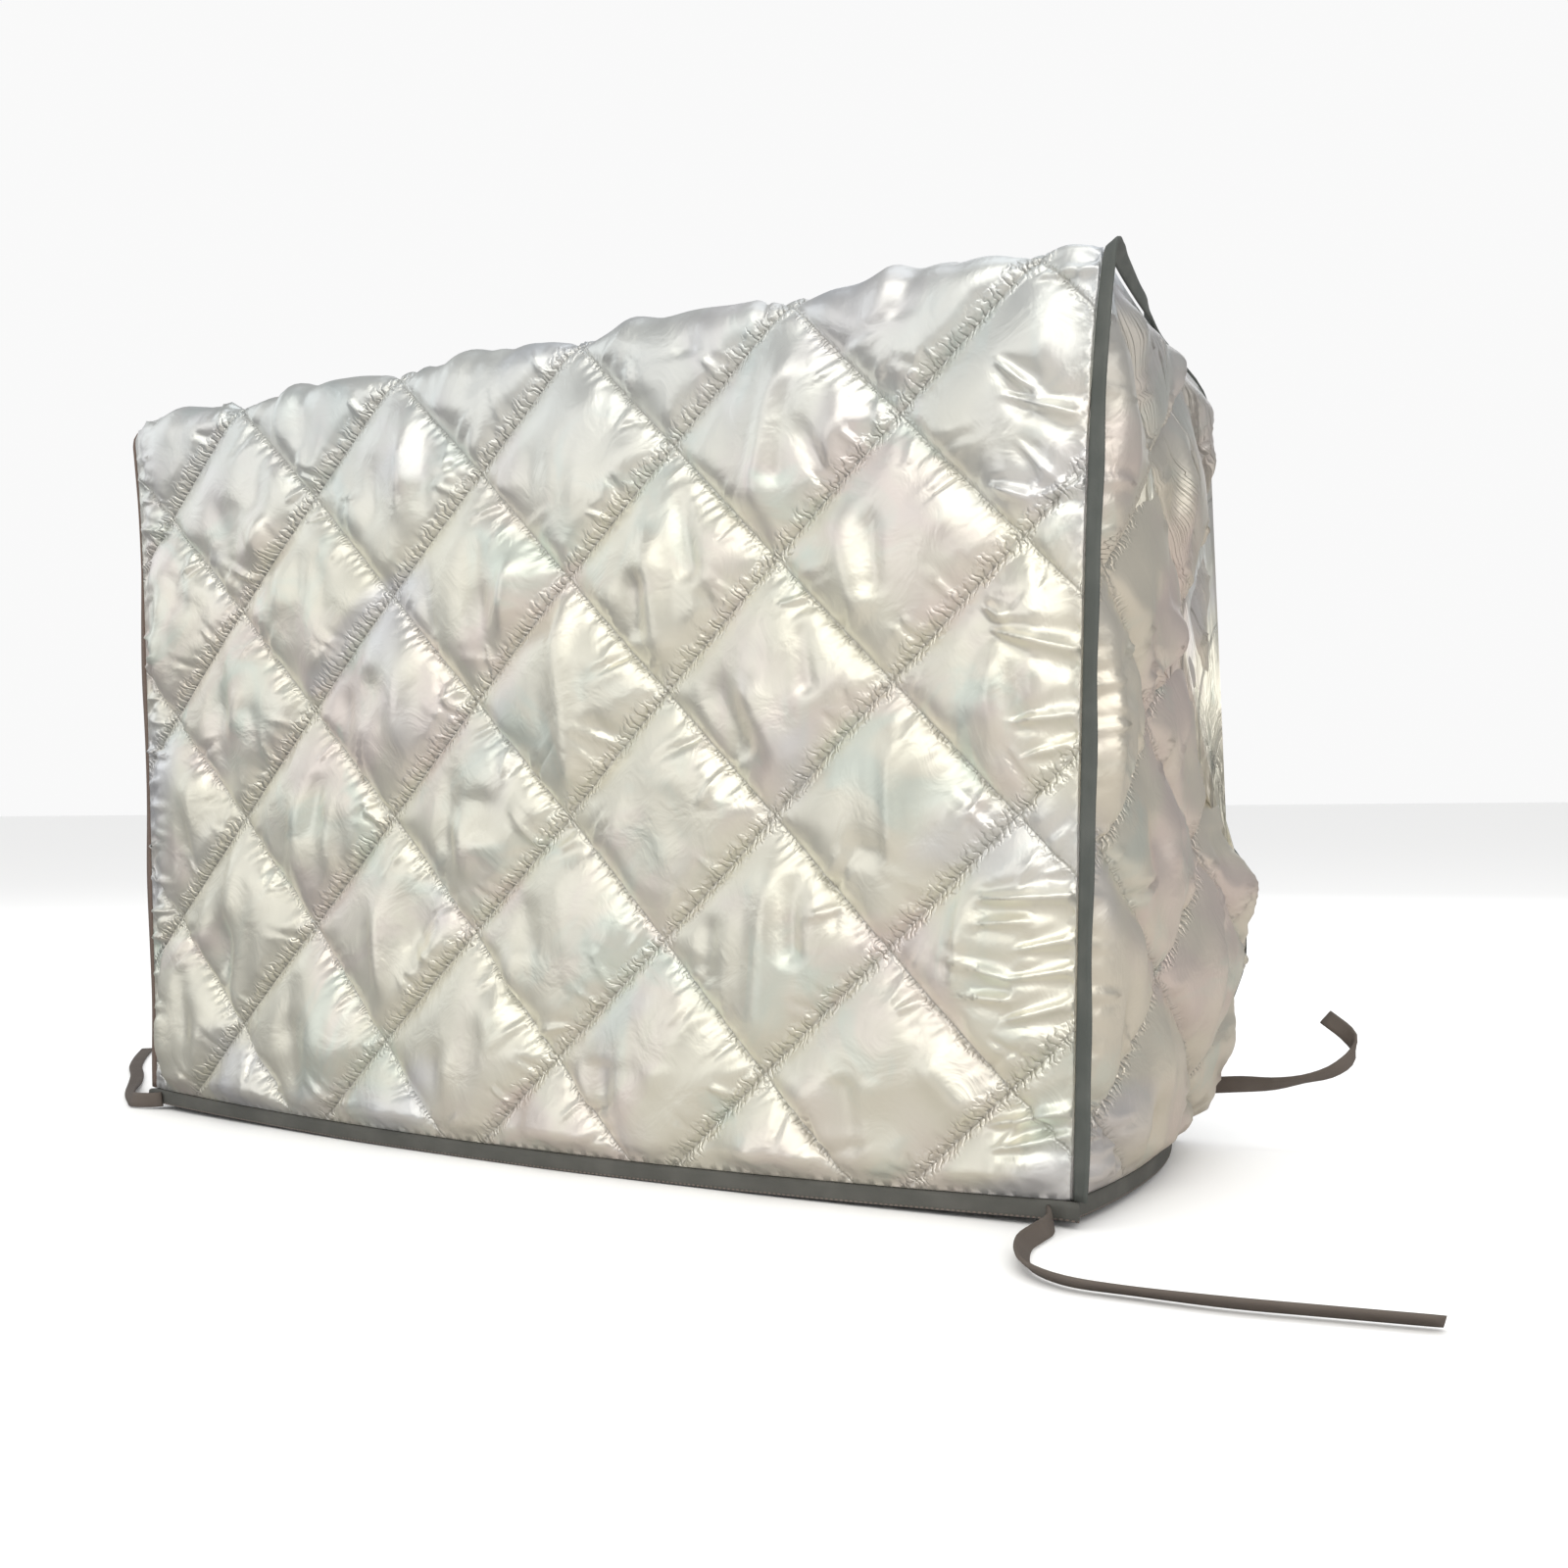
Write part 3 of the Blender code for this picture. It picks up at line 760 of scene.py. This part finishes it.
# Folds that the photo shows on the front: start and end across and above the hem, half width, height
frontFolds = (
    (0.207, 0.480, 0.194, 0.395, 0.0108, 0.0052),
    (0.248, 0.469, 0.246, 0.416, 0.0081, 0.0040),
    (0.116, 0.382, 0.126, 0.312, 0.0101, 0.0056),
    (0.247, 0.391, 0.267, 0.328, 0.0108, 0.0052),
    (0.191, 0.292, 0.219, 0.239, 0.0108, 0.0056),
    (0.041, 0.346, 0.055, 0.232, 0.0101, 0.0050),
    (0.158, 0.244, 0.165, 0.220, 0.0068, 0.0032),
    (0.288, 0.256, 0.291, 0.195, 0.0054, 0.0037),
    (0.208, 0.180, 0.203, 0.087, 0.0115, 0.0052),
    (0.233, 0.191, 0.242, 0.154, 0.0068, 0.0035),
    (0.316, 0.073, 0.344, 0.044, 0.0088, 0.0042),
    (0.211, 0.463, 0.206, 0.411, 0.0068, -0.0042),
    (0.221, 0.442, 0.245, 0.401, 0.0061, -0.0045),
    (0.135, 0.408, 0.147, 0.359, 0.0074, -0.0047),
    (0.157, 0.349, 0.165, 0.325, 0.0061, -0.0040),
    (0.106, 0.360, 0.103, 0.324, 0.0108, -0.0050),
    (0.272, 0.384, 0.276, 0.341, 0.0068, -0.0042),
    (0.224, 0.325, 0.233, 0.286, 0.0068, -0.0042),
    (0.163, 0.293, 0.186, 0.249, 0.0108, -0.0052),
    (0.071, 0.272, 0.095, 0.253, 0.0068, -0.0042),
    (0.261, 0.196, 0.284, 0.191, 0.0081, -0.0035),
    (0.220, 0.174, 0.223, 0.129, 0.0074, -0.0045),
    (0.162, 0.149, 0.162, 0.114, 0.0101, -0.0042),
    (0.304, 0.092, 0.335, 0.098, 0.0047, -0.0025),
)
# Pull creases beside the right binding, the same way: sharp, and widening towards the binding
frontPulls = (
    (0.344, 0.465, 0.373, 0.440, 0.0058, 0.0040),
    (0.350, 0.443, 0.391, 0.429, 0.0065, 0.0047),
    (0.342, 0.395, 0.368, 0.385, 0.0058, 0.0040),
    (0.368, 0.385, 0.397, 0.390, 0.0058, 0.0037),
    (0.338, 0.333, 0.358, 0.320, 0.0065, 0.0040),
    (0.344, 0.316, 0.397, 0.301, 0.0072, 0.0053),
    (0.359, 0.262, 0.397, 0.267, 0.0065, 0.0043),
    (0.367, 0.242, 0.397, 0.252, 0.0051, 0.0034),
    (0.332, 0.166, 0.397, 0.169, 0.0072, 0.0053),
    (0.334, 0.152, 0.374, 0.155, 0.0051, 0.0034),
    (0.365, 0.138, 0.397, 0.145, 0.0058, 0.0040),
    (0.317, 0.136, 0.365, 0.123, 0.0058, 0.0043),
    (0.328, 0.113, 0.365, 0.111, 0.0051, 0.0037),
    (0.359, 0.098, 0.397, 0.109, 0.0065, 0.0043),
    (0.361, 0.122, 0.397, 0.128, 0.0051, 0.0037),
    (0.345, 0.039, 0.397, 0.049, 0.0072, 0.0047),
    (0.351, 0.026, 0.397, 0.036, 0.0058, 0.0037),
)
# Where the folds above lie, across and above the hem, the others keep only a share of their height
foldedPatch = {"left": 0.030, "right": 0.330, "low": 0.060, "high": 0.495, "others": 0.25}
# Wedge creases of a diamond: the seam that each ends on, as first and second share, and its turn in degrees
wedges = ((0.0, 0.0, 35), (0.0, 1.0, 215), (1.0, 0.0, 150), (0.0, 0.0, 70), (0.0, 1.0, 250), (1.0, 0.0, 120))
# Cells along a diamond's side, and how wide the bands with finer cells are, in metres
meshing = {"stripCells": 16, "sideCells": 32, "liningCells": 8, "seamBand": 0.014, "borderBand": 0.050}


# A number from 0 to 1 that belongs to one diamond and one use.
def scatter(i, j, k):
    value = np.sin(i * 12.9898 + j * 78.233 + k * 37.719) * 43758.5453
    return value - np.floor(value)


# 0 on a seam to 1 at its reach, steep at first and levelling off slowly.
def rise(distance, reach):
    share = np.clip(distance / reach, 0.0, 1.0)
    return (1 - (1 - share) ** 2.2) ** 0.85


def diamondPlace(column, row):
    first = (column + row) / 2
    second = (column - row) / 2
    i = np.floor(first)
    j = np.floor(second)
    return first, second, i, j, first - i, second - j


def roundPuff(a, b):
    return (np.maximum(16 * a * (1 - a) * b * (1 - b), 0)) ** 0.6


# A reach that varies along its seam, differently in each diamond.
def unevenReach(reach, run, i, j, use, swing=0.20):
    phase = 6.28 * scatter(i, j, use)
    wave = np.sin(run * 75 + phase) + 0.8 * np.sin(run * 140 + 2 * phase)
    return reach * (1 + swing * wave) * (0.85 + 0.35 * scatter(i, j, use + 5))


def shoulderPuff(a, b, i, j):
    slump = shoulder["slump"] * (0.6 + 0.8 * scatter(i, j, 3)) * np.exp(-(((a - 0.60) / 0.28) ** 2))
    reach = unevenReach(shoulder["lowerRight"], b * seamSide, i, j, 80)
    puff = rise((1 - a) * seamSide, reach)
    puff = puff * rise(a * seamSide, shoulder["upperLeft"])
    reach = unevenReach(shoulder["upperRight"], a * seamSide, i, j, 82)
    puff = puff * rise((1 - b) * seamSide, reach)
    reach = unevenReach(shoulder["lowerLeft"], a * seamSide, i, j, 84, 0.34)
    return puff * rise(b * seamSide, reach + slump)


# Small gathers beside one seam, each with its own length and strength.
def gathered(distance, run, pitch, depth, reach, i, j, use):
    wander = 0.9 * np.sin(run * 71 + i * 2.3 + j) + 0.6 * np.sin(run * 163 + j * 1.7 + i * 3.1)
    turns = run / pitch + 0.32 * wander + distance * 25 * (scatter(i, j, use) - 0.5)
    number = np.floor(turns)
    own = scatter(number, i + 3 * j, use + 1)
    length = reach * (0.45 + 0.75 * own)
    share = np.clip(distance / length, 0.0, 1.0)
    window = np.clip(distance / 0.0016, 0.0, 1.0) * (1 - share * share) ** 2
    ridge = 1.7 * np.abs(np.sin(turns * math.pi)) - 1.0
    strength = 0.55 + 0.65 * scatter(number, i - 2 * j, use + 2)
    return depth * strength * ridge * window


def gathers(a, b, i, j):
    close = gathered((1 - a) * seamSide, b * seamSide, gather["closePitch"], gather["closeDepth"],
                     gather["closeReach"], i, j, 60)
    wide = gathered((1 - b) * seamSide, a * seamSide, gather["widePitch"], gather["wideDepth"],
                    gather["wideReach"], i, j, 70)
    return close + wide


# Soft hanging folds of the diamonds whose own folds the photo doesn't show.
def hangingFolds(a, b, i, j):
    across = (a + b - 1) * halfColumn
    up = (b - a) * halfRow
    total = np.zeros_like(a)
    for k in range(5):
        centre = (scatter(i, j, k) - 0.5) * 0.085
        lean = (scatter(i, j, k + 10) - 0.5) * 0.5
        width = 0.0075 + 0.0065 * scatter(i, j, k + 20)
        middle = (scatter(i, j, k + 30) - 0.60) * 0.055
        length = 0.016 + 0.022 * scatter(i, j, k + 40)
        height = (0.0026 + 0.0026 * scatter(i, j, k + 50)) * (1 if k % 2 else -1)
        line = (across - centre - lean * (up - middle)) / width
        total += height * np.exp(-(line**2)) * np.exp(-(((up - middle) / length) ** 4))
    return total


# How far along a line each place lies, as a share of the line, and how far beside it
def besideLine(x, y, startX, startY, endX, endY):
    runX = endX - startX
    runY = endY - startY
    length = np.hypot(runX, runY)
    share = ((x - startX) * runX + (y - startY) * runY) / length**2
    return share, np.abs((x - startX) * runY - (y - startY) * runX) / length


# A sharp pull crease from its thin start to its wide end, with a trough on each side.
def creaseShape(x, y, startX, startY, endX, endY, width):
    share, away = besideLine(x, y, startX, startY, endX, endY)
    own = width * np.clip(0.25 + 0.75 * share, 0.2, 1.0)
    ridge = np.maximum(1 - away / own, 0.0) ** 1.5 - 0.45 * np.exp(-(((away - 1.5 * own) / own) ** 2))
    return ridge * smoothShare(share / 0.35) * smoothShare((1.12 - share) / 0.15)


# Wedge creases of each diamond, from its middle out to its seams.
def seamCreases(a, b, i, j):
    x = (a + b - 1) * halfColumn
    y = (b - a) * halfRow
    total = np.zeros_like(a)
    for k, (seamA, seamB, turn) in enumerate(wedges):
        spot = 0.15 + 0.75 * scatter(i, j, k + 90)
        endA = seamA if seamA else spot
        endB = spot if seamA else seamB
        endX = (endA + endB - 1) * halfColumn
        endY = (endB - endA) * halfRow
        angle = np.radians(turn + 50 * (scatter(i, j, k + 100) - 0.5))
        length = 0.014 + 0.028 * scatter(i, j, k + 110)
        height = (0.0010 + 0.0016 * scatter(i, j, k + 120)) * np.where(scatter(i, j, k + 130) > 0.35, 1, -1)
        width = 0.0040 + 0.0030 * scatter(i, j, k + 140)
        startX = endX + length * np.cos(angle)
        startY = endY + length * np.sin(angle)
        total += height * creaseShape(x, y, startX, startY, endX, endY, width)
    return total * smoothShare(np.minimum(np.minimum(a, 1 - a), np.minimum(b, 1 - b)) * seamSide / 0.002)


# Sum of single folds. Each runs from its start to its end; a sharp one is a crease that widens.
def foldField(x, y, folds, sharp):
    total = np.zeros_like(x)
    for startX, startY, endX, endY, width, height in folds:
        if sharp:
            total += height * creaseShape(x, y, startX, startY, endX, endY, width)
            continue
        share, away = besideLine(x, y, startX, startY, endX, endY)
        window = smoothShare((share + 0.22) / 0.40) * smoothShare((1.14 - share) / 0.22)
        total += height * np.exp(-((away / width) ** 2)) * window
    return total


# Pull creases along one edge of a panel: the same kind of rows, from inside it out to the edge
def scatteredPulls(length, use, edge, facing):
    rows = []
    place = 0.012
    count = 0
    while place < length - 0.012:
        draw = [float(scatter(count, use, k)) for k in range(5)]
        reach = 0.016 + 0.034 * draw[0]
        slant = (draw[1] - 0.5) * 0.020
        width = 0.0038 + 0.0030 * draw[2]
        height = 0.0020 + 0.0024 * draw[3]
        rows.append((edge + facing * reach, place + slant, edge, place, width, height))
        place += 0.011 + 0.019 * draw[4]
        count += 1
    return rows


# Little puffs between the hem's stitches.
def hemScallops(across, up, use):
    turns = across / 0.030 + 0.35 * np.sin(across * 47 + use) + 0.2 * np.sin(across * 121)
    number = np.floor(turns)
    bulge = np.cos((turns - number - 0.5) * math.pi) ** 2
    tall = 0.010 + 0.012 * scatter(number, use, 4)
    return 0.0022 * bulge * np.clip(up / 0.003, 0, 1) * np.exp(-((up / tall) ** 2))


# A flat panel in the quilting's own grid, whose mesh lines follow the seams. x is the column, -y the row
def panelForm(columns, rows, cells, finer=None):
    low = math.floor((columns[0] + rows[0]) / 2)
    high = math.ceil((columns[1] + rows[1]) / 2)
    left = math.floor((columns[0] - rows[1]) / 2)
    right = math.ceil((columns[1] - rows[0]) / 2)
    form = bmesh.new()
    wide = high - low
    tall = right - left
    bmesh.ops.create_grid(form, x_segments=wide * cells, y_segments=tall * cells, size=0.5)
    middle = Matrix.Translation(((low + high) / 2, (left + right) / 2, 0))
    bmesh.ops.transform(form, matrix=middle @ Matrix.Diagonal((wide, tall, 1, 1)), verts=form.verts)
    turn = Matrix(((1, 1, 0, 0), (-1, 1, 0, 0), (0, 0, 1, 0), (0, 0, 0, 1)))
    bmesh.ops.transform(form, matrix=turn, verts=form.verts)
    for point, normal in (((columns[0], 0, 0), (-1, 0, 0)), ((columns[1], 0, 0), (1, 0, 0)),
                          ((0, -rows[0], 0), (0, 1, 0)), ((0, -rows[1], 0), (0, -1, 0))):
        whole = form.verts[:] + form.edges[:] + form.faces[:]
        bmesh.ops.bisect_plane(form, geom=whole, dist=0.002, plane_co=point, plane_no=normal,
                               clear_outer=True)
    for within in finer or ():
        edges = [e for e in form.edges if within(*(sum((v.co for v in e.verts), Vector()) / 2)[:2])]
        bmesh.ops.subdivide_edges(form, edges=edges, cuts=1, use_grid_fill=True)
    return form


# Whether a place is in the gathered band beside its diamond's two right-hand seams.
def besideSeams(x, y):
    first = (x - y) / 2
    second = (x + y) / 2
    band = 1 - meshing["seamBand"] / seamSide
    return first % 1 > band or second % 1 > band


def formMap(form):
    points = np.array([v.co[:] for v in form.verts])
    return points[:, 0], -points[:, 1]


# surface and lining give every vertex its place from its column and row.
def quiltedPanel(name, columns, rows, cells, finer, surface, lining, material, mirrored=False):
    outer = panelForm(columns, rows, cells, finer)
    inner = panelForm(columns, rows, meshing["liningCells"])
    column, row = formMap(outer)
    innerColumn, innerRow = formMap(inner)
    for vert, point in zip(outer.verts, surface(column, row)):
        vert.co = point
    for vert, point in zip(inner.verts, lining(innerColumn, innerRow)):
        vert.co = point
    bmesh.ops.reverse_faces(inner, faces=inner.faces)
    scratch = bpy.data.meshes.new("liningScratch")
    inner.to_mesh(scratch)
    inner.free()
    outer.from_mesh(scratch)
    bpy.data.meshes.remove(scratch)
    bmesh.ops.bridge_loops(outer, edges=[e for e in outer.edges if e.is_boundary])
    if mirrored:
        bmesh.ops.reverse_faces(outer, faces=outer.faces)
    bmesh.ops.triangulate(outer, faces=[f for f in outer.faces if len(f.verts) > 4])
    obj = makeObject(name, outer, material)
    allColumns = np.concatenate([column, innerColumn])
    allRows = np.concatenate([row, innerRow])
    first = (allColumns + allRows) / 2
    second = (allColumns - allRows) / 2
    storeMap(obj, "quiltMap", np.stack([first, second, np.zeros_like(first)], 1))
    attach(obj, "root")
    triangles = sum(len(p.vertices) - 2 for p in obj.data.polygons)
    print("panel", name, "triangles", triangles)
    return obj


def makeStripPanel():
    half = cover["width"] / 2
    columns = ((-half - quilt["firstColumn"]) / halfColumn, (half - quilt["firstColumn"]) / halfColumn)
    rows = ((stripPhase - stripLength) / halfRow, stripPhase / halfRow)
    visibleEnd = frontFold + 0.05
    backStart = backFold + 0.02

    def places(column, row):
        return quilt["firstColumn"] + column * halfColumn, stripPhase - row * halfRow

    def fade(across, along, reach):
        edge = smoothShare((half - np.abs(across)) / reach)
        return edge * smoothShare(np.minimum(along, stripLength - along) / quilt["hemReach"])

    pulls = [*frontPulls, *scatteredPulls(stripLength, 5, -half, 1)]
    for *start, endX, endY, width, height in scatteredPulls(stripLength, 9, half, -1):
        share = 0.3 if endY > backFold else 1.0
        if endY > frontLength - 0.02:
            pulls.append((*start, endX, endY, width, height * share))

    def surface(column, row):
        across, along = places(column, row)
        base, out = stripBase(across / half, along)
        first, second, i, j, a, b = diamondPlace(column, row)
        shoulders = shoulderPuff(a, b, i, j)
        puff = quilt["roundShare"] * roundPuff(a, b) + (1 - quilt["roundShare"]) * shoulders
        own = (across > foldedPatch["left"]) & (across < foldedPatch["right"])
        own &= (along > foldedPatch["low"]) & (along < foldedPatch["high"])
        folds = np.where(own, foldedPatch["others"], 1.0) * hangingFolds(a, b, i, j)
        folds += foldField(across, along, frontFolds, False)
        seen = smoothShare((visibleEnd - along) / 0.02)
        bend = 1 - quilt["foldFlatten"] * np.exp(-(((along - frontFold) / quilt["foldSpread"]) ** 2))
        height = (quilt["loft"] * puff + folds * shoulders) * bend * fade(across, along, quilt["edgeReach"])
        height += (gathers(a, b, i, j) * seen + seamCreases(a, b, i, j)) * fade(across, along, 0.012)
        height += foldField(across, along, pulls, True) * smoothShare((half - np.abs(across)) / 0.002)
        height += hemScallops(across, along, 1.0)
        return base + out * height[:, None]

    def lining(column, row):
        across, along = places(column, row)
        base, out = stripBase(across / half, along)
        _, _, _, _, a, b = diamondPlace(column, row)
        depth = cover["seamThickness"] + quilt["liningLoft"] * roundPuff(a, b) * fade(across, along, 0.03)
        return base - out * depth[:, None]

    def frontAndTop(x, y):
        return stripPhase + y * halfRow < backStart

    def frontBands(x, y):
        atBorder = quilt["firstColumn"] + x * halfColumn > half - meshing["borderBand"]
        return stripPhase + y * halfRow < visibleEnd and (atBorder or besideSeams(x, y))

    obj = quiltedPanel("quiltedStrip", columns, rows, meshing["stripCells"], (frontAndTop, frontBands),
                       surface, lining, silverMaterial)
    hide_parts("main_panel")


def makeSidePanel(name, node, side):
    inset = cover["seamThickness"] + quilt["panelGap"]
    front = frontY + inset
    back = backY - inset
    bottom = panelHemZ
    top = cover["topZ"] - inset
    firstColumn = quilt["sideFirstColumn"]
    columns = ((front - firstColumn) / halfColumn, (back - firstColumn) / halfColumn)
    rows = ((quilt["sideFirstRow"] - top) / halfRow, (quilt["sideFirstRow"] - bottom) / halfRow)
    roundOff = foldRadius - inset
    out = np.array([side, 0.0, 0.0])

    def flat(column, row):
        return quilt["sideFirstColumn"] + column * halfColumn, quilt["sideFirstRow"] - row * halfRow

    def places(column, row):
        y, z = flat(column, row)
        ceiling = topHeight(y) - inset
        corner = np.maximum(np.maximum(front + roundOff - y, y - back + roundOff), 0) / roundOff
        ceiling = ceiling - roundOff * (1 - np.sqrt(np.maximum(1 - corner**2, 0)))
        z = bottom + (z - bottom) * (ceiling - bottom) / (top - bottom)
        return np.stack([sideX(side, y, z), y, z + hemLift(1, z)], 1)

    def fade(column, row, reach):
        y, z = flat(column, row)
        near = np.minimum(np.minimum(y - front, back - y), top - z)
        return smoothShare(near / reach) * smoothShare((z - bottom) / quilt["hemReach"])

    pulls = scatteredPulls(top - bottom, 21 + side, front, 1)
    for *route, width, height in scatteredPulls(top - bottom, 31 + side, back, -1):
        pulls.append((*route, width * 1.5, height * 0.4))

    def surface(column, row):
        first, second, i, j, a, b = diamondPlace(column, row)
        y, z = flat(column, row)
        shoulders = shoulderPuff(a, b, i, j)
        puff = quilt["roundShare"] * roundPuff(a, b) + (1 - quilt["roundShare"]) * shoulders
        height = quilt["loft"] * puff + hangingFolds(a, b, i, j) * shoulders
        height = height * fade(column, row, quilt["edgeReach"])
        height += (1.4 * gathers(a, b, i, j) + 1.3 * seamCreases(a, b, i, j)) * fade(column, row, 0.012)
        inside = smoothShare(np.minimum(y - front, back - y) / 0.002)
        height += foldField(y, z - bottom, pulls, True) * inside
        height += hemScallops(y, z - bottom, 3.0 + side)
        return places(column, row) + out * height[:, None]

    def lining(column, row):
        _, _, _, _, a, b = diamondPlace(column, row)
        depth = cover["seamThickness"] + quilt["liningLoft"] * roundPuff(a, b) * fade(column, row, 0.03)
        return places(column, row) - out * depth[:, None]

    obj = quiltedPanel(name, columns, rows, meshing["sideCells"], (besideSeams,), surface, lining,
                       shadedSideMaterial, mirrored=side < 0)
    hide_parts(node)


makeStripPanel()
makeSidePanel("rightSidePanel", "side_panel_right", 1)
makeSidePanel("leftSidePanel", "side_panel_left", -1)

# Floor, light and background. The satin reflects a dimmer floor and room than the camera sees.
studio = {
    "floor": (0.965, 0.965, 0.96, 1),
    "floorReach": 60.0,
    "mirroredRight": (0.40, 0.375, 0.35, 1),  # the floor as the satin reflects it
    "mirroredLeft": (0.07, 0.07, 0.075, 1),
    "mirroredFrom": 0.05,
    "mirroredTo": -0.45,
    "room": (0.86, 0.89, 0.93, 1),
    "roomStrength": 0.27,
    "behind": (1.0, 1.0, 1.0, 1),
    "behindStrength": 0.95,
}
# Each light: place, aim, size, power, colour
studioLights = {
    "upperKey": ((0.9, -2.3, 2.1), (0, 0, -0.2), 2.8, 42.0, (1.0, 0.985, 0.93)),
    "rightPanel": ((2.9, -1.4, 0.9), (0, 0, -0.25), 2.0, 25.0, (1.0, 0.97, 0.93)),
    "frontPanel": ((-1.9, -3.6, 0.8), (0, 0, -0.25), 3.0, 23.0, (1.0, 0.99, 0.98)),
    "leftPanel": ((-3.0, -0.6, 1.2), (0, 0, -0.25), 2.2, 13.0, (0.93, 0.97, 1.0)),
    "topPanel": ((0.2, 0.5, 2.2), (0, 0, 0), 2.0, 12.0, (0.88, 0.93, 1.0)),
    "backPanel": ((-0.6, 2.6, 1.2), (0, 0, -0.25), 2.0, 12.0, (0.95, 0.97, 1.0)),
}


def makeStudio(settings, lights):
    form = bmesh.new()
    bmesh.ops.create_grid(form, x_segments=1, y_segments=1, size=settings["floorReach"])
    bmesh.ops.translate(form, vec=(0, 0, cover["hemZ"] - 0.0002), verts=form.verts)
    material, tree, shader = newMaterial("paleFloor")
    shader.inputs["Roughness"].default_value = 0.9
    place = tree.nodes.new("ShaderNodeSeparateXYZ")
    tree.links.new(tree.nodes.new("ShaderNodeTexCoord").outputs["Object"], place.inputs[0])
    leftward = addRange(tree, place.outputs[0], settings["mirroredTo"], settings["mirroredFrom"], 1.0, 0.0)
    mirrored = addMix(tree, leftward, settings["mirroredRight"], settings["mirroredLeft"])
    glossy = tree.nodes.new("ShaderNodeLightPath").outputs["Is Glossy Ray"]
    tree.links.new(addMix(tree, glossy, settings["floor"], mirrored), shader.inputs["Base Color"])
    floor = makeObject("floor", form, material)
    for name, (place, aim, size, power, colour) in lights.items():
        light = bpy.data.lights.new(name, "AREA")
        light.shape = "SQUARE"
        light.size = size
        light.energy = power
        light.color = colour
        lamp = bpy.data.objects.new(name, light)
        direction = Vector(aim) - Vector(place)
        turn = direction.to_track_quat("-Z", "Y").to_matrix().to_4x4()
        lamp.matrix_world = Matrix.Translation(place) @ turn
        bpy.context.scene.collection.objects.link(lamp)
    world = bpy.data.worlds.new("paleRoom")
    bpy.context.scene.world = world
    world.use_nodes = True
    tree = world.node_tree
    room = tree.nodes["Background"]
    room.inputs["Color"].default_value = settings["room"]
    room.inputs["Strength"].default_value = settings["roomStrength"]
    behind = tree.nodes.new("ShaderNodeBackground")
    behind.inputs["Color"].default_value = settings["behind"]
    behind.inputs["Strength"].default_value = settings["behindStrength"]
    path = tree.nodes.new("ShaderNodeLightPath")
    mix = tree.nodes.new("ShaderNodeMixShader")
    tree.links.new(path.outputs["Is Glossy Ray"], mix.inputs["Fac"])
    tree.links.new(behind.outputs["Background"], mix.inputs[1])
    tree.links.new(room.outputs["Background"], mix.inputs[2])
    tree.links.new(mix.outputs["Shader"], tree.nodes["World Output"].inputs["Surface"])
    bpy.context.scene.view_settings.view_transform = "Standard"


makeStudio(studio, studioLights)
print("studio set")
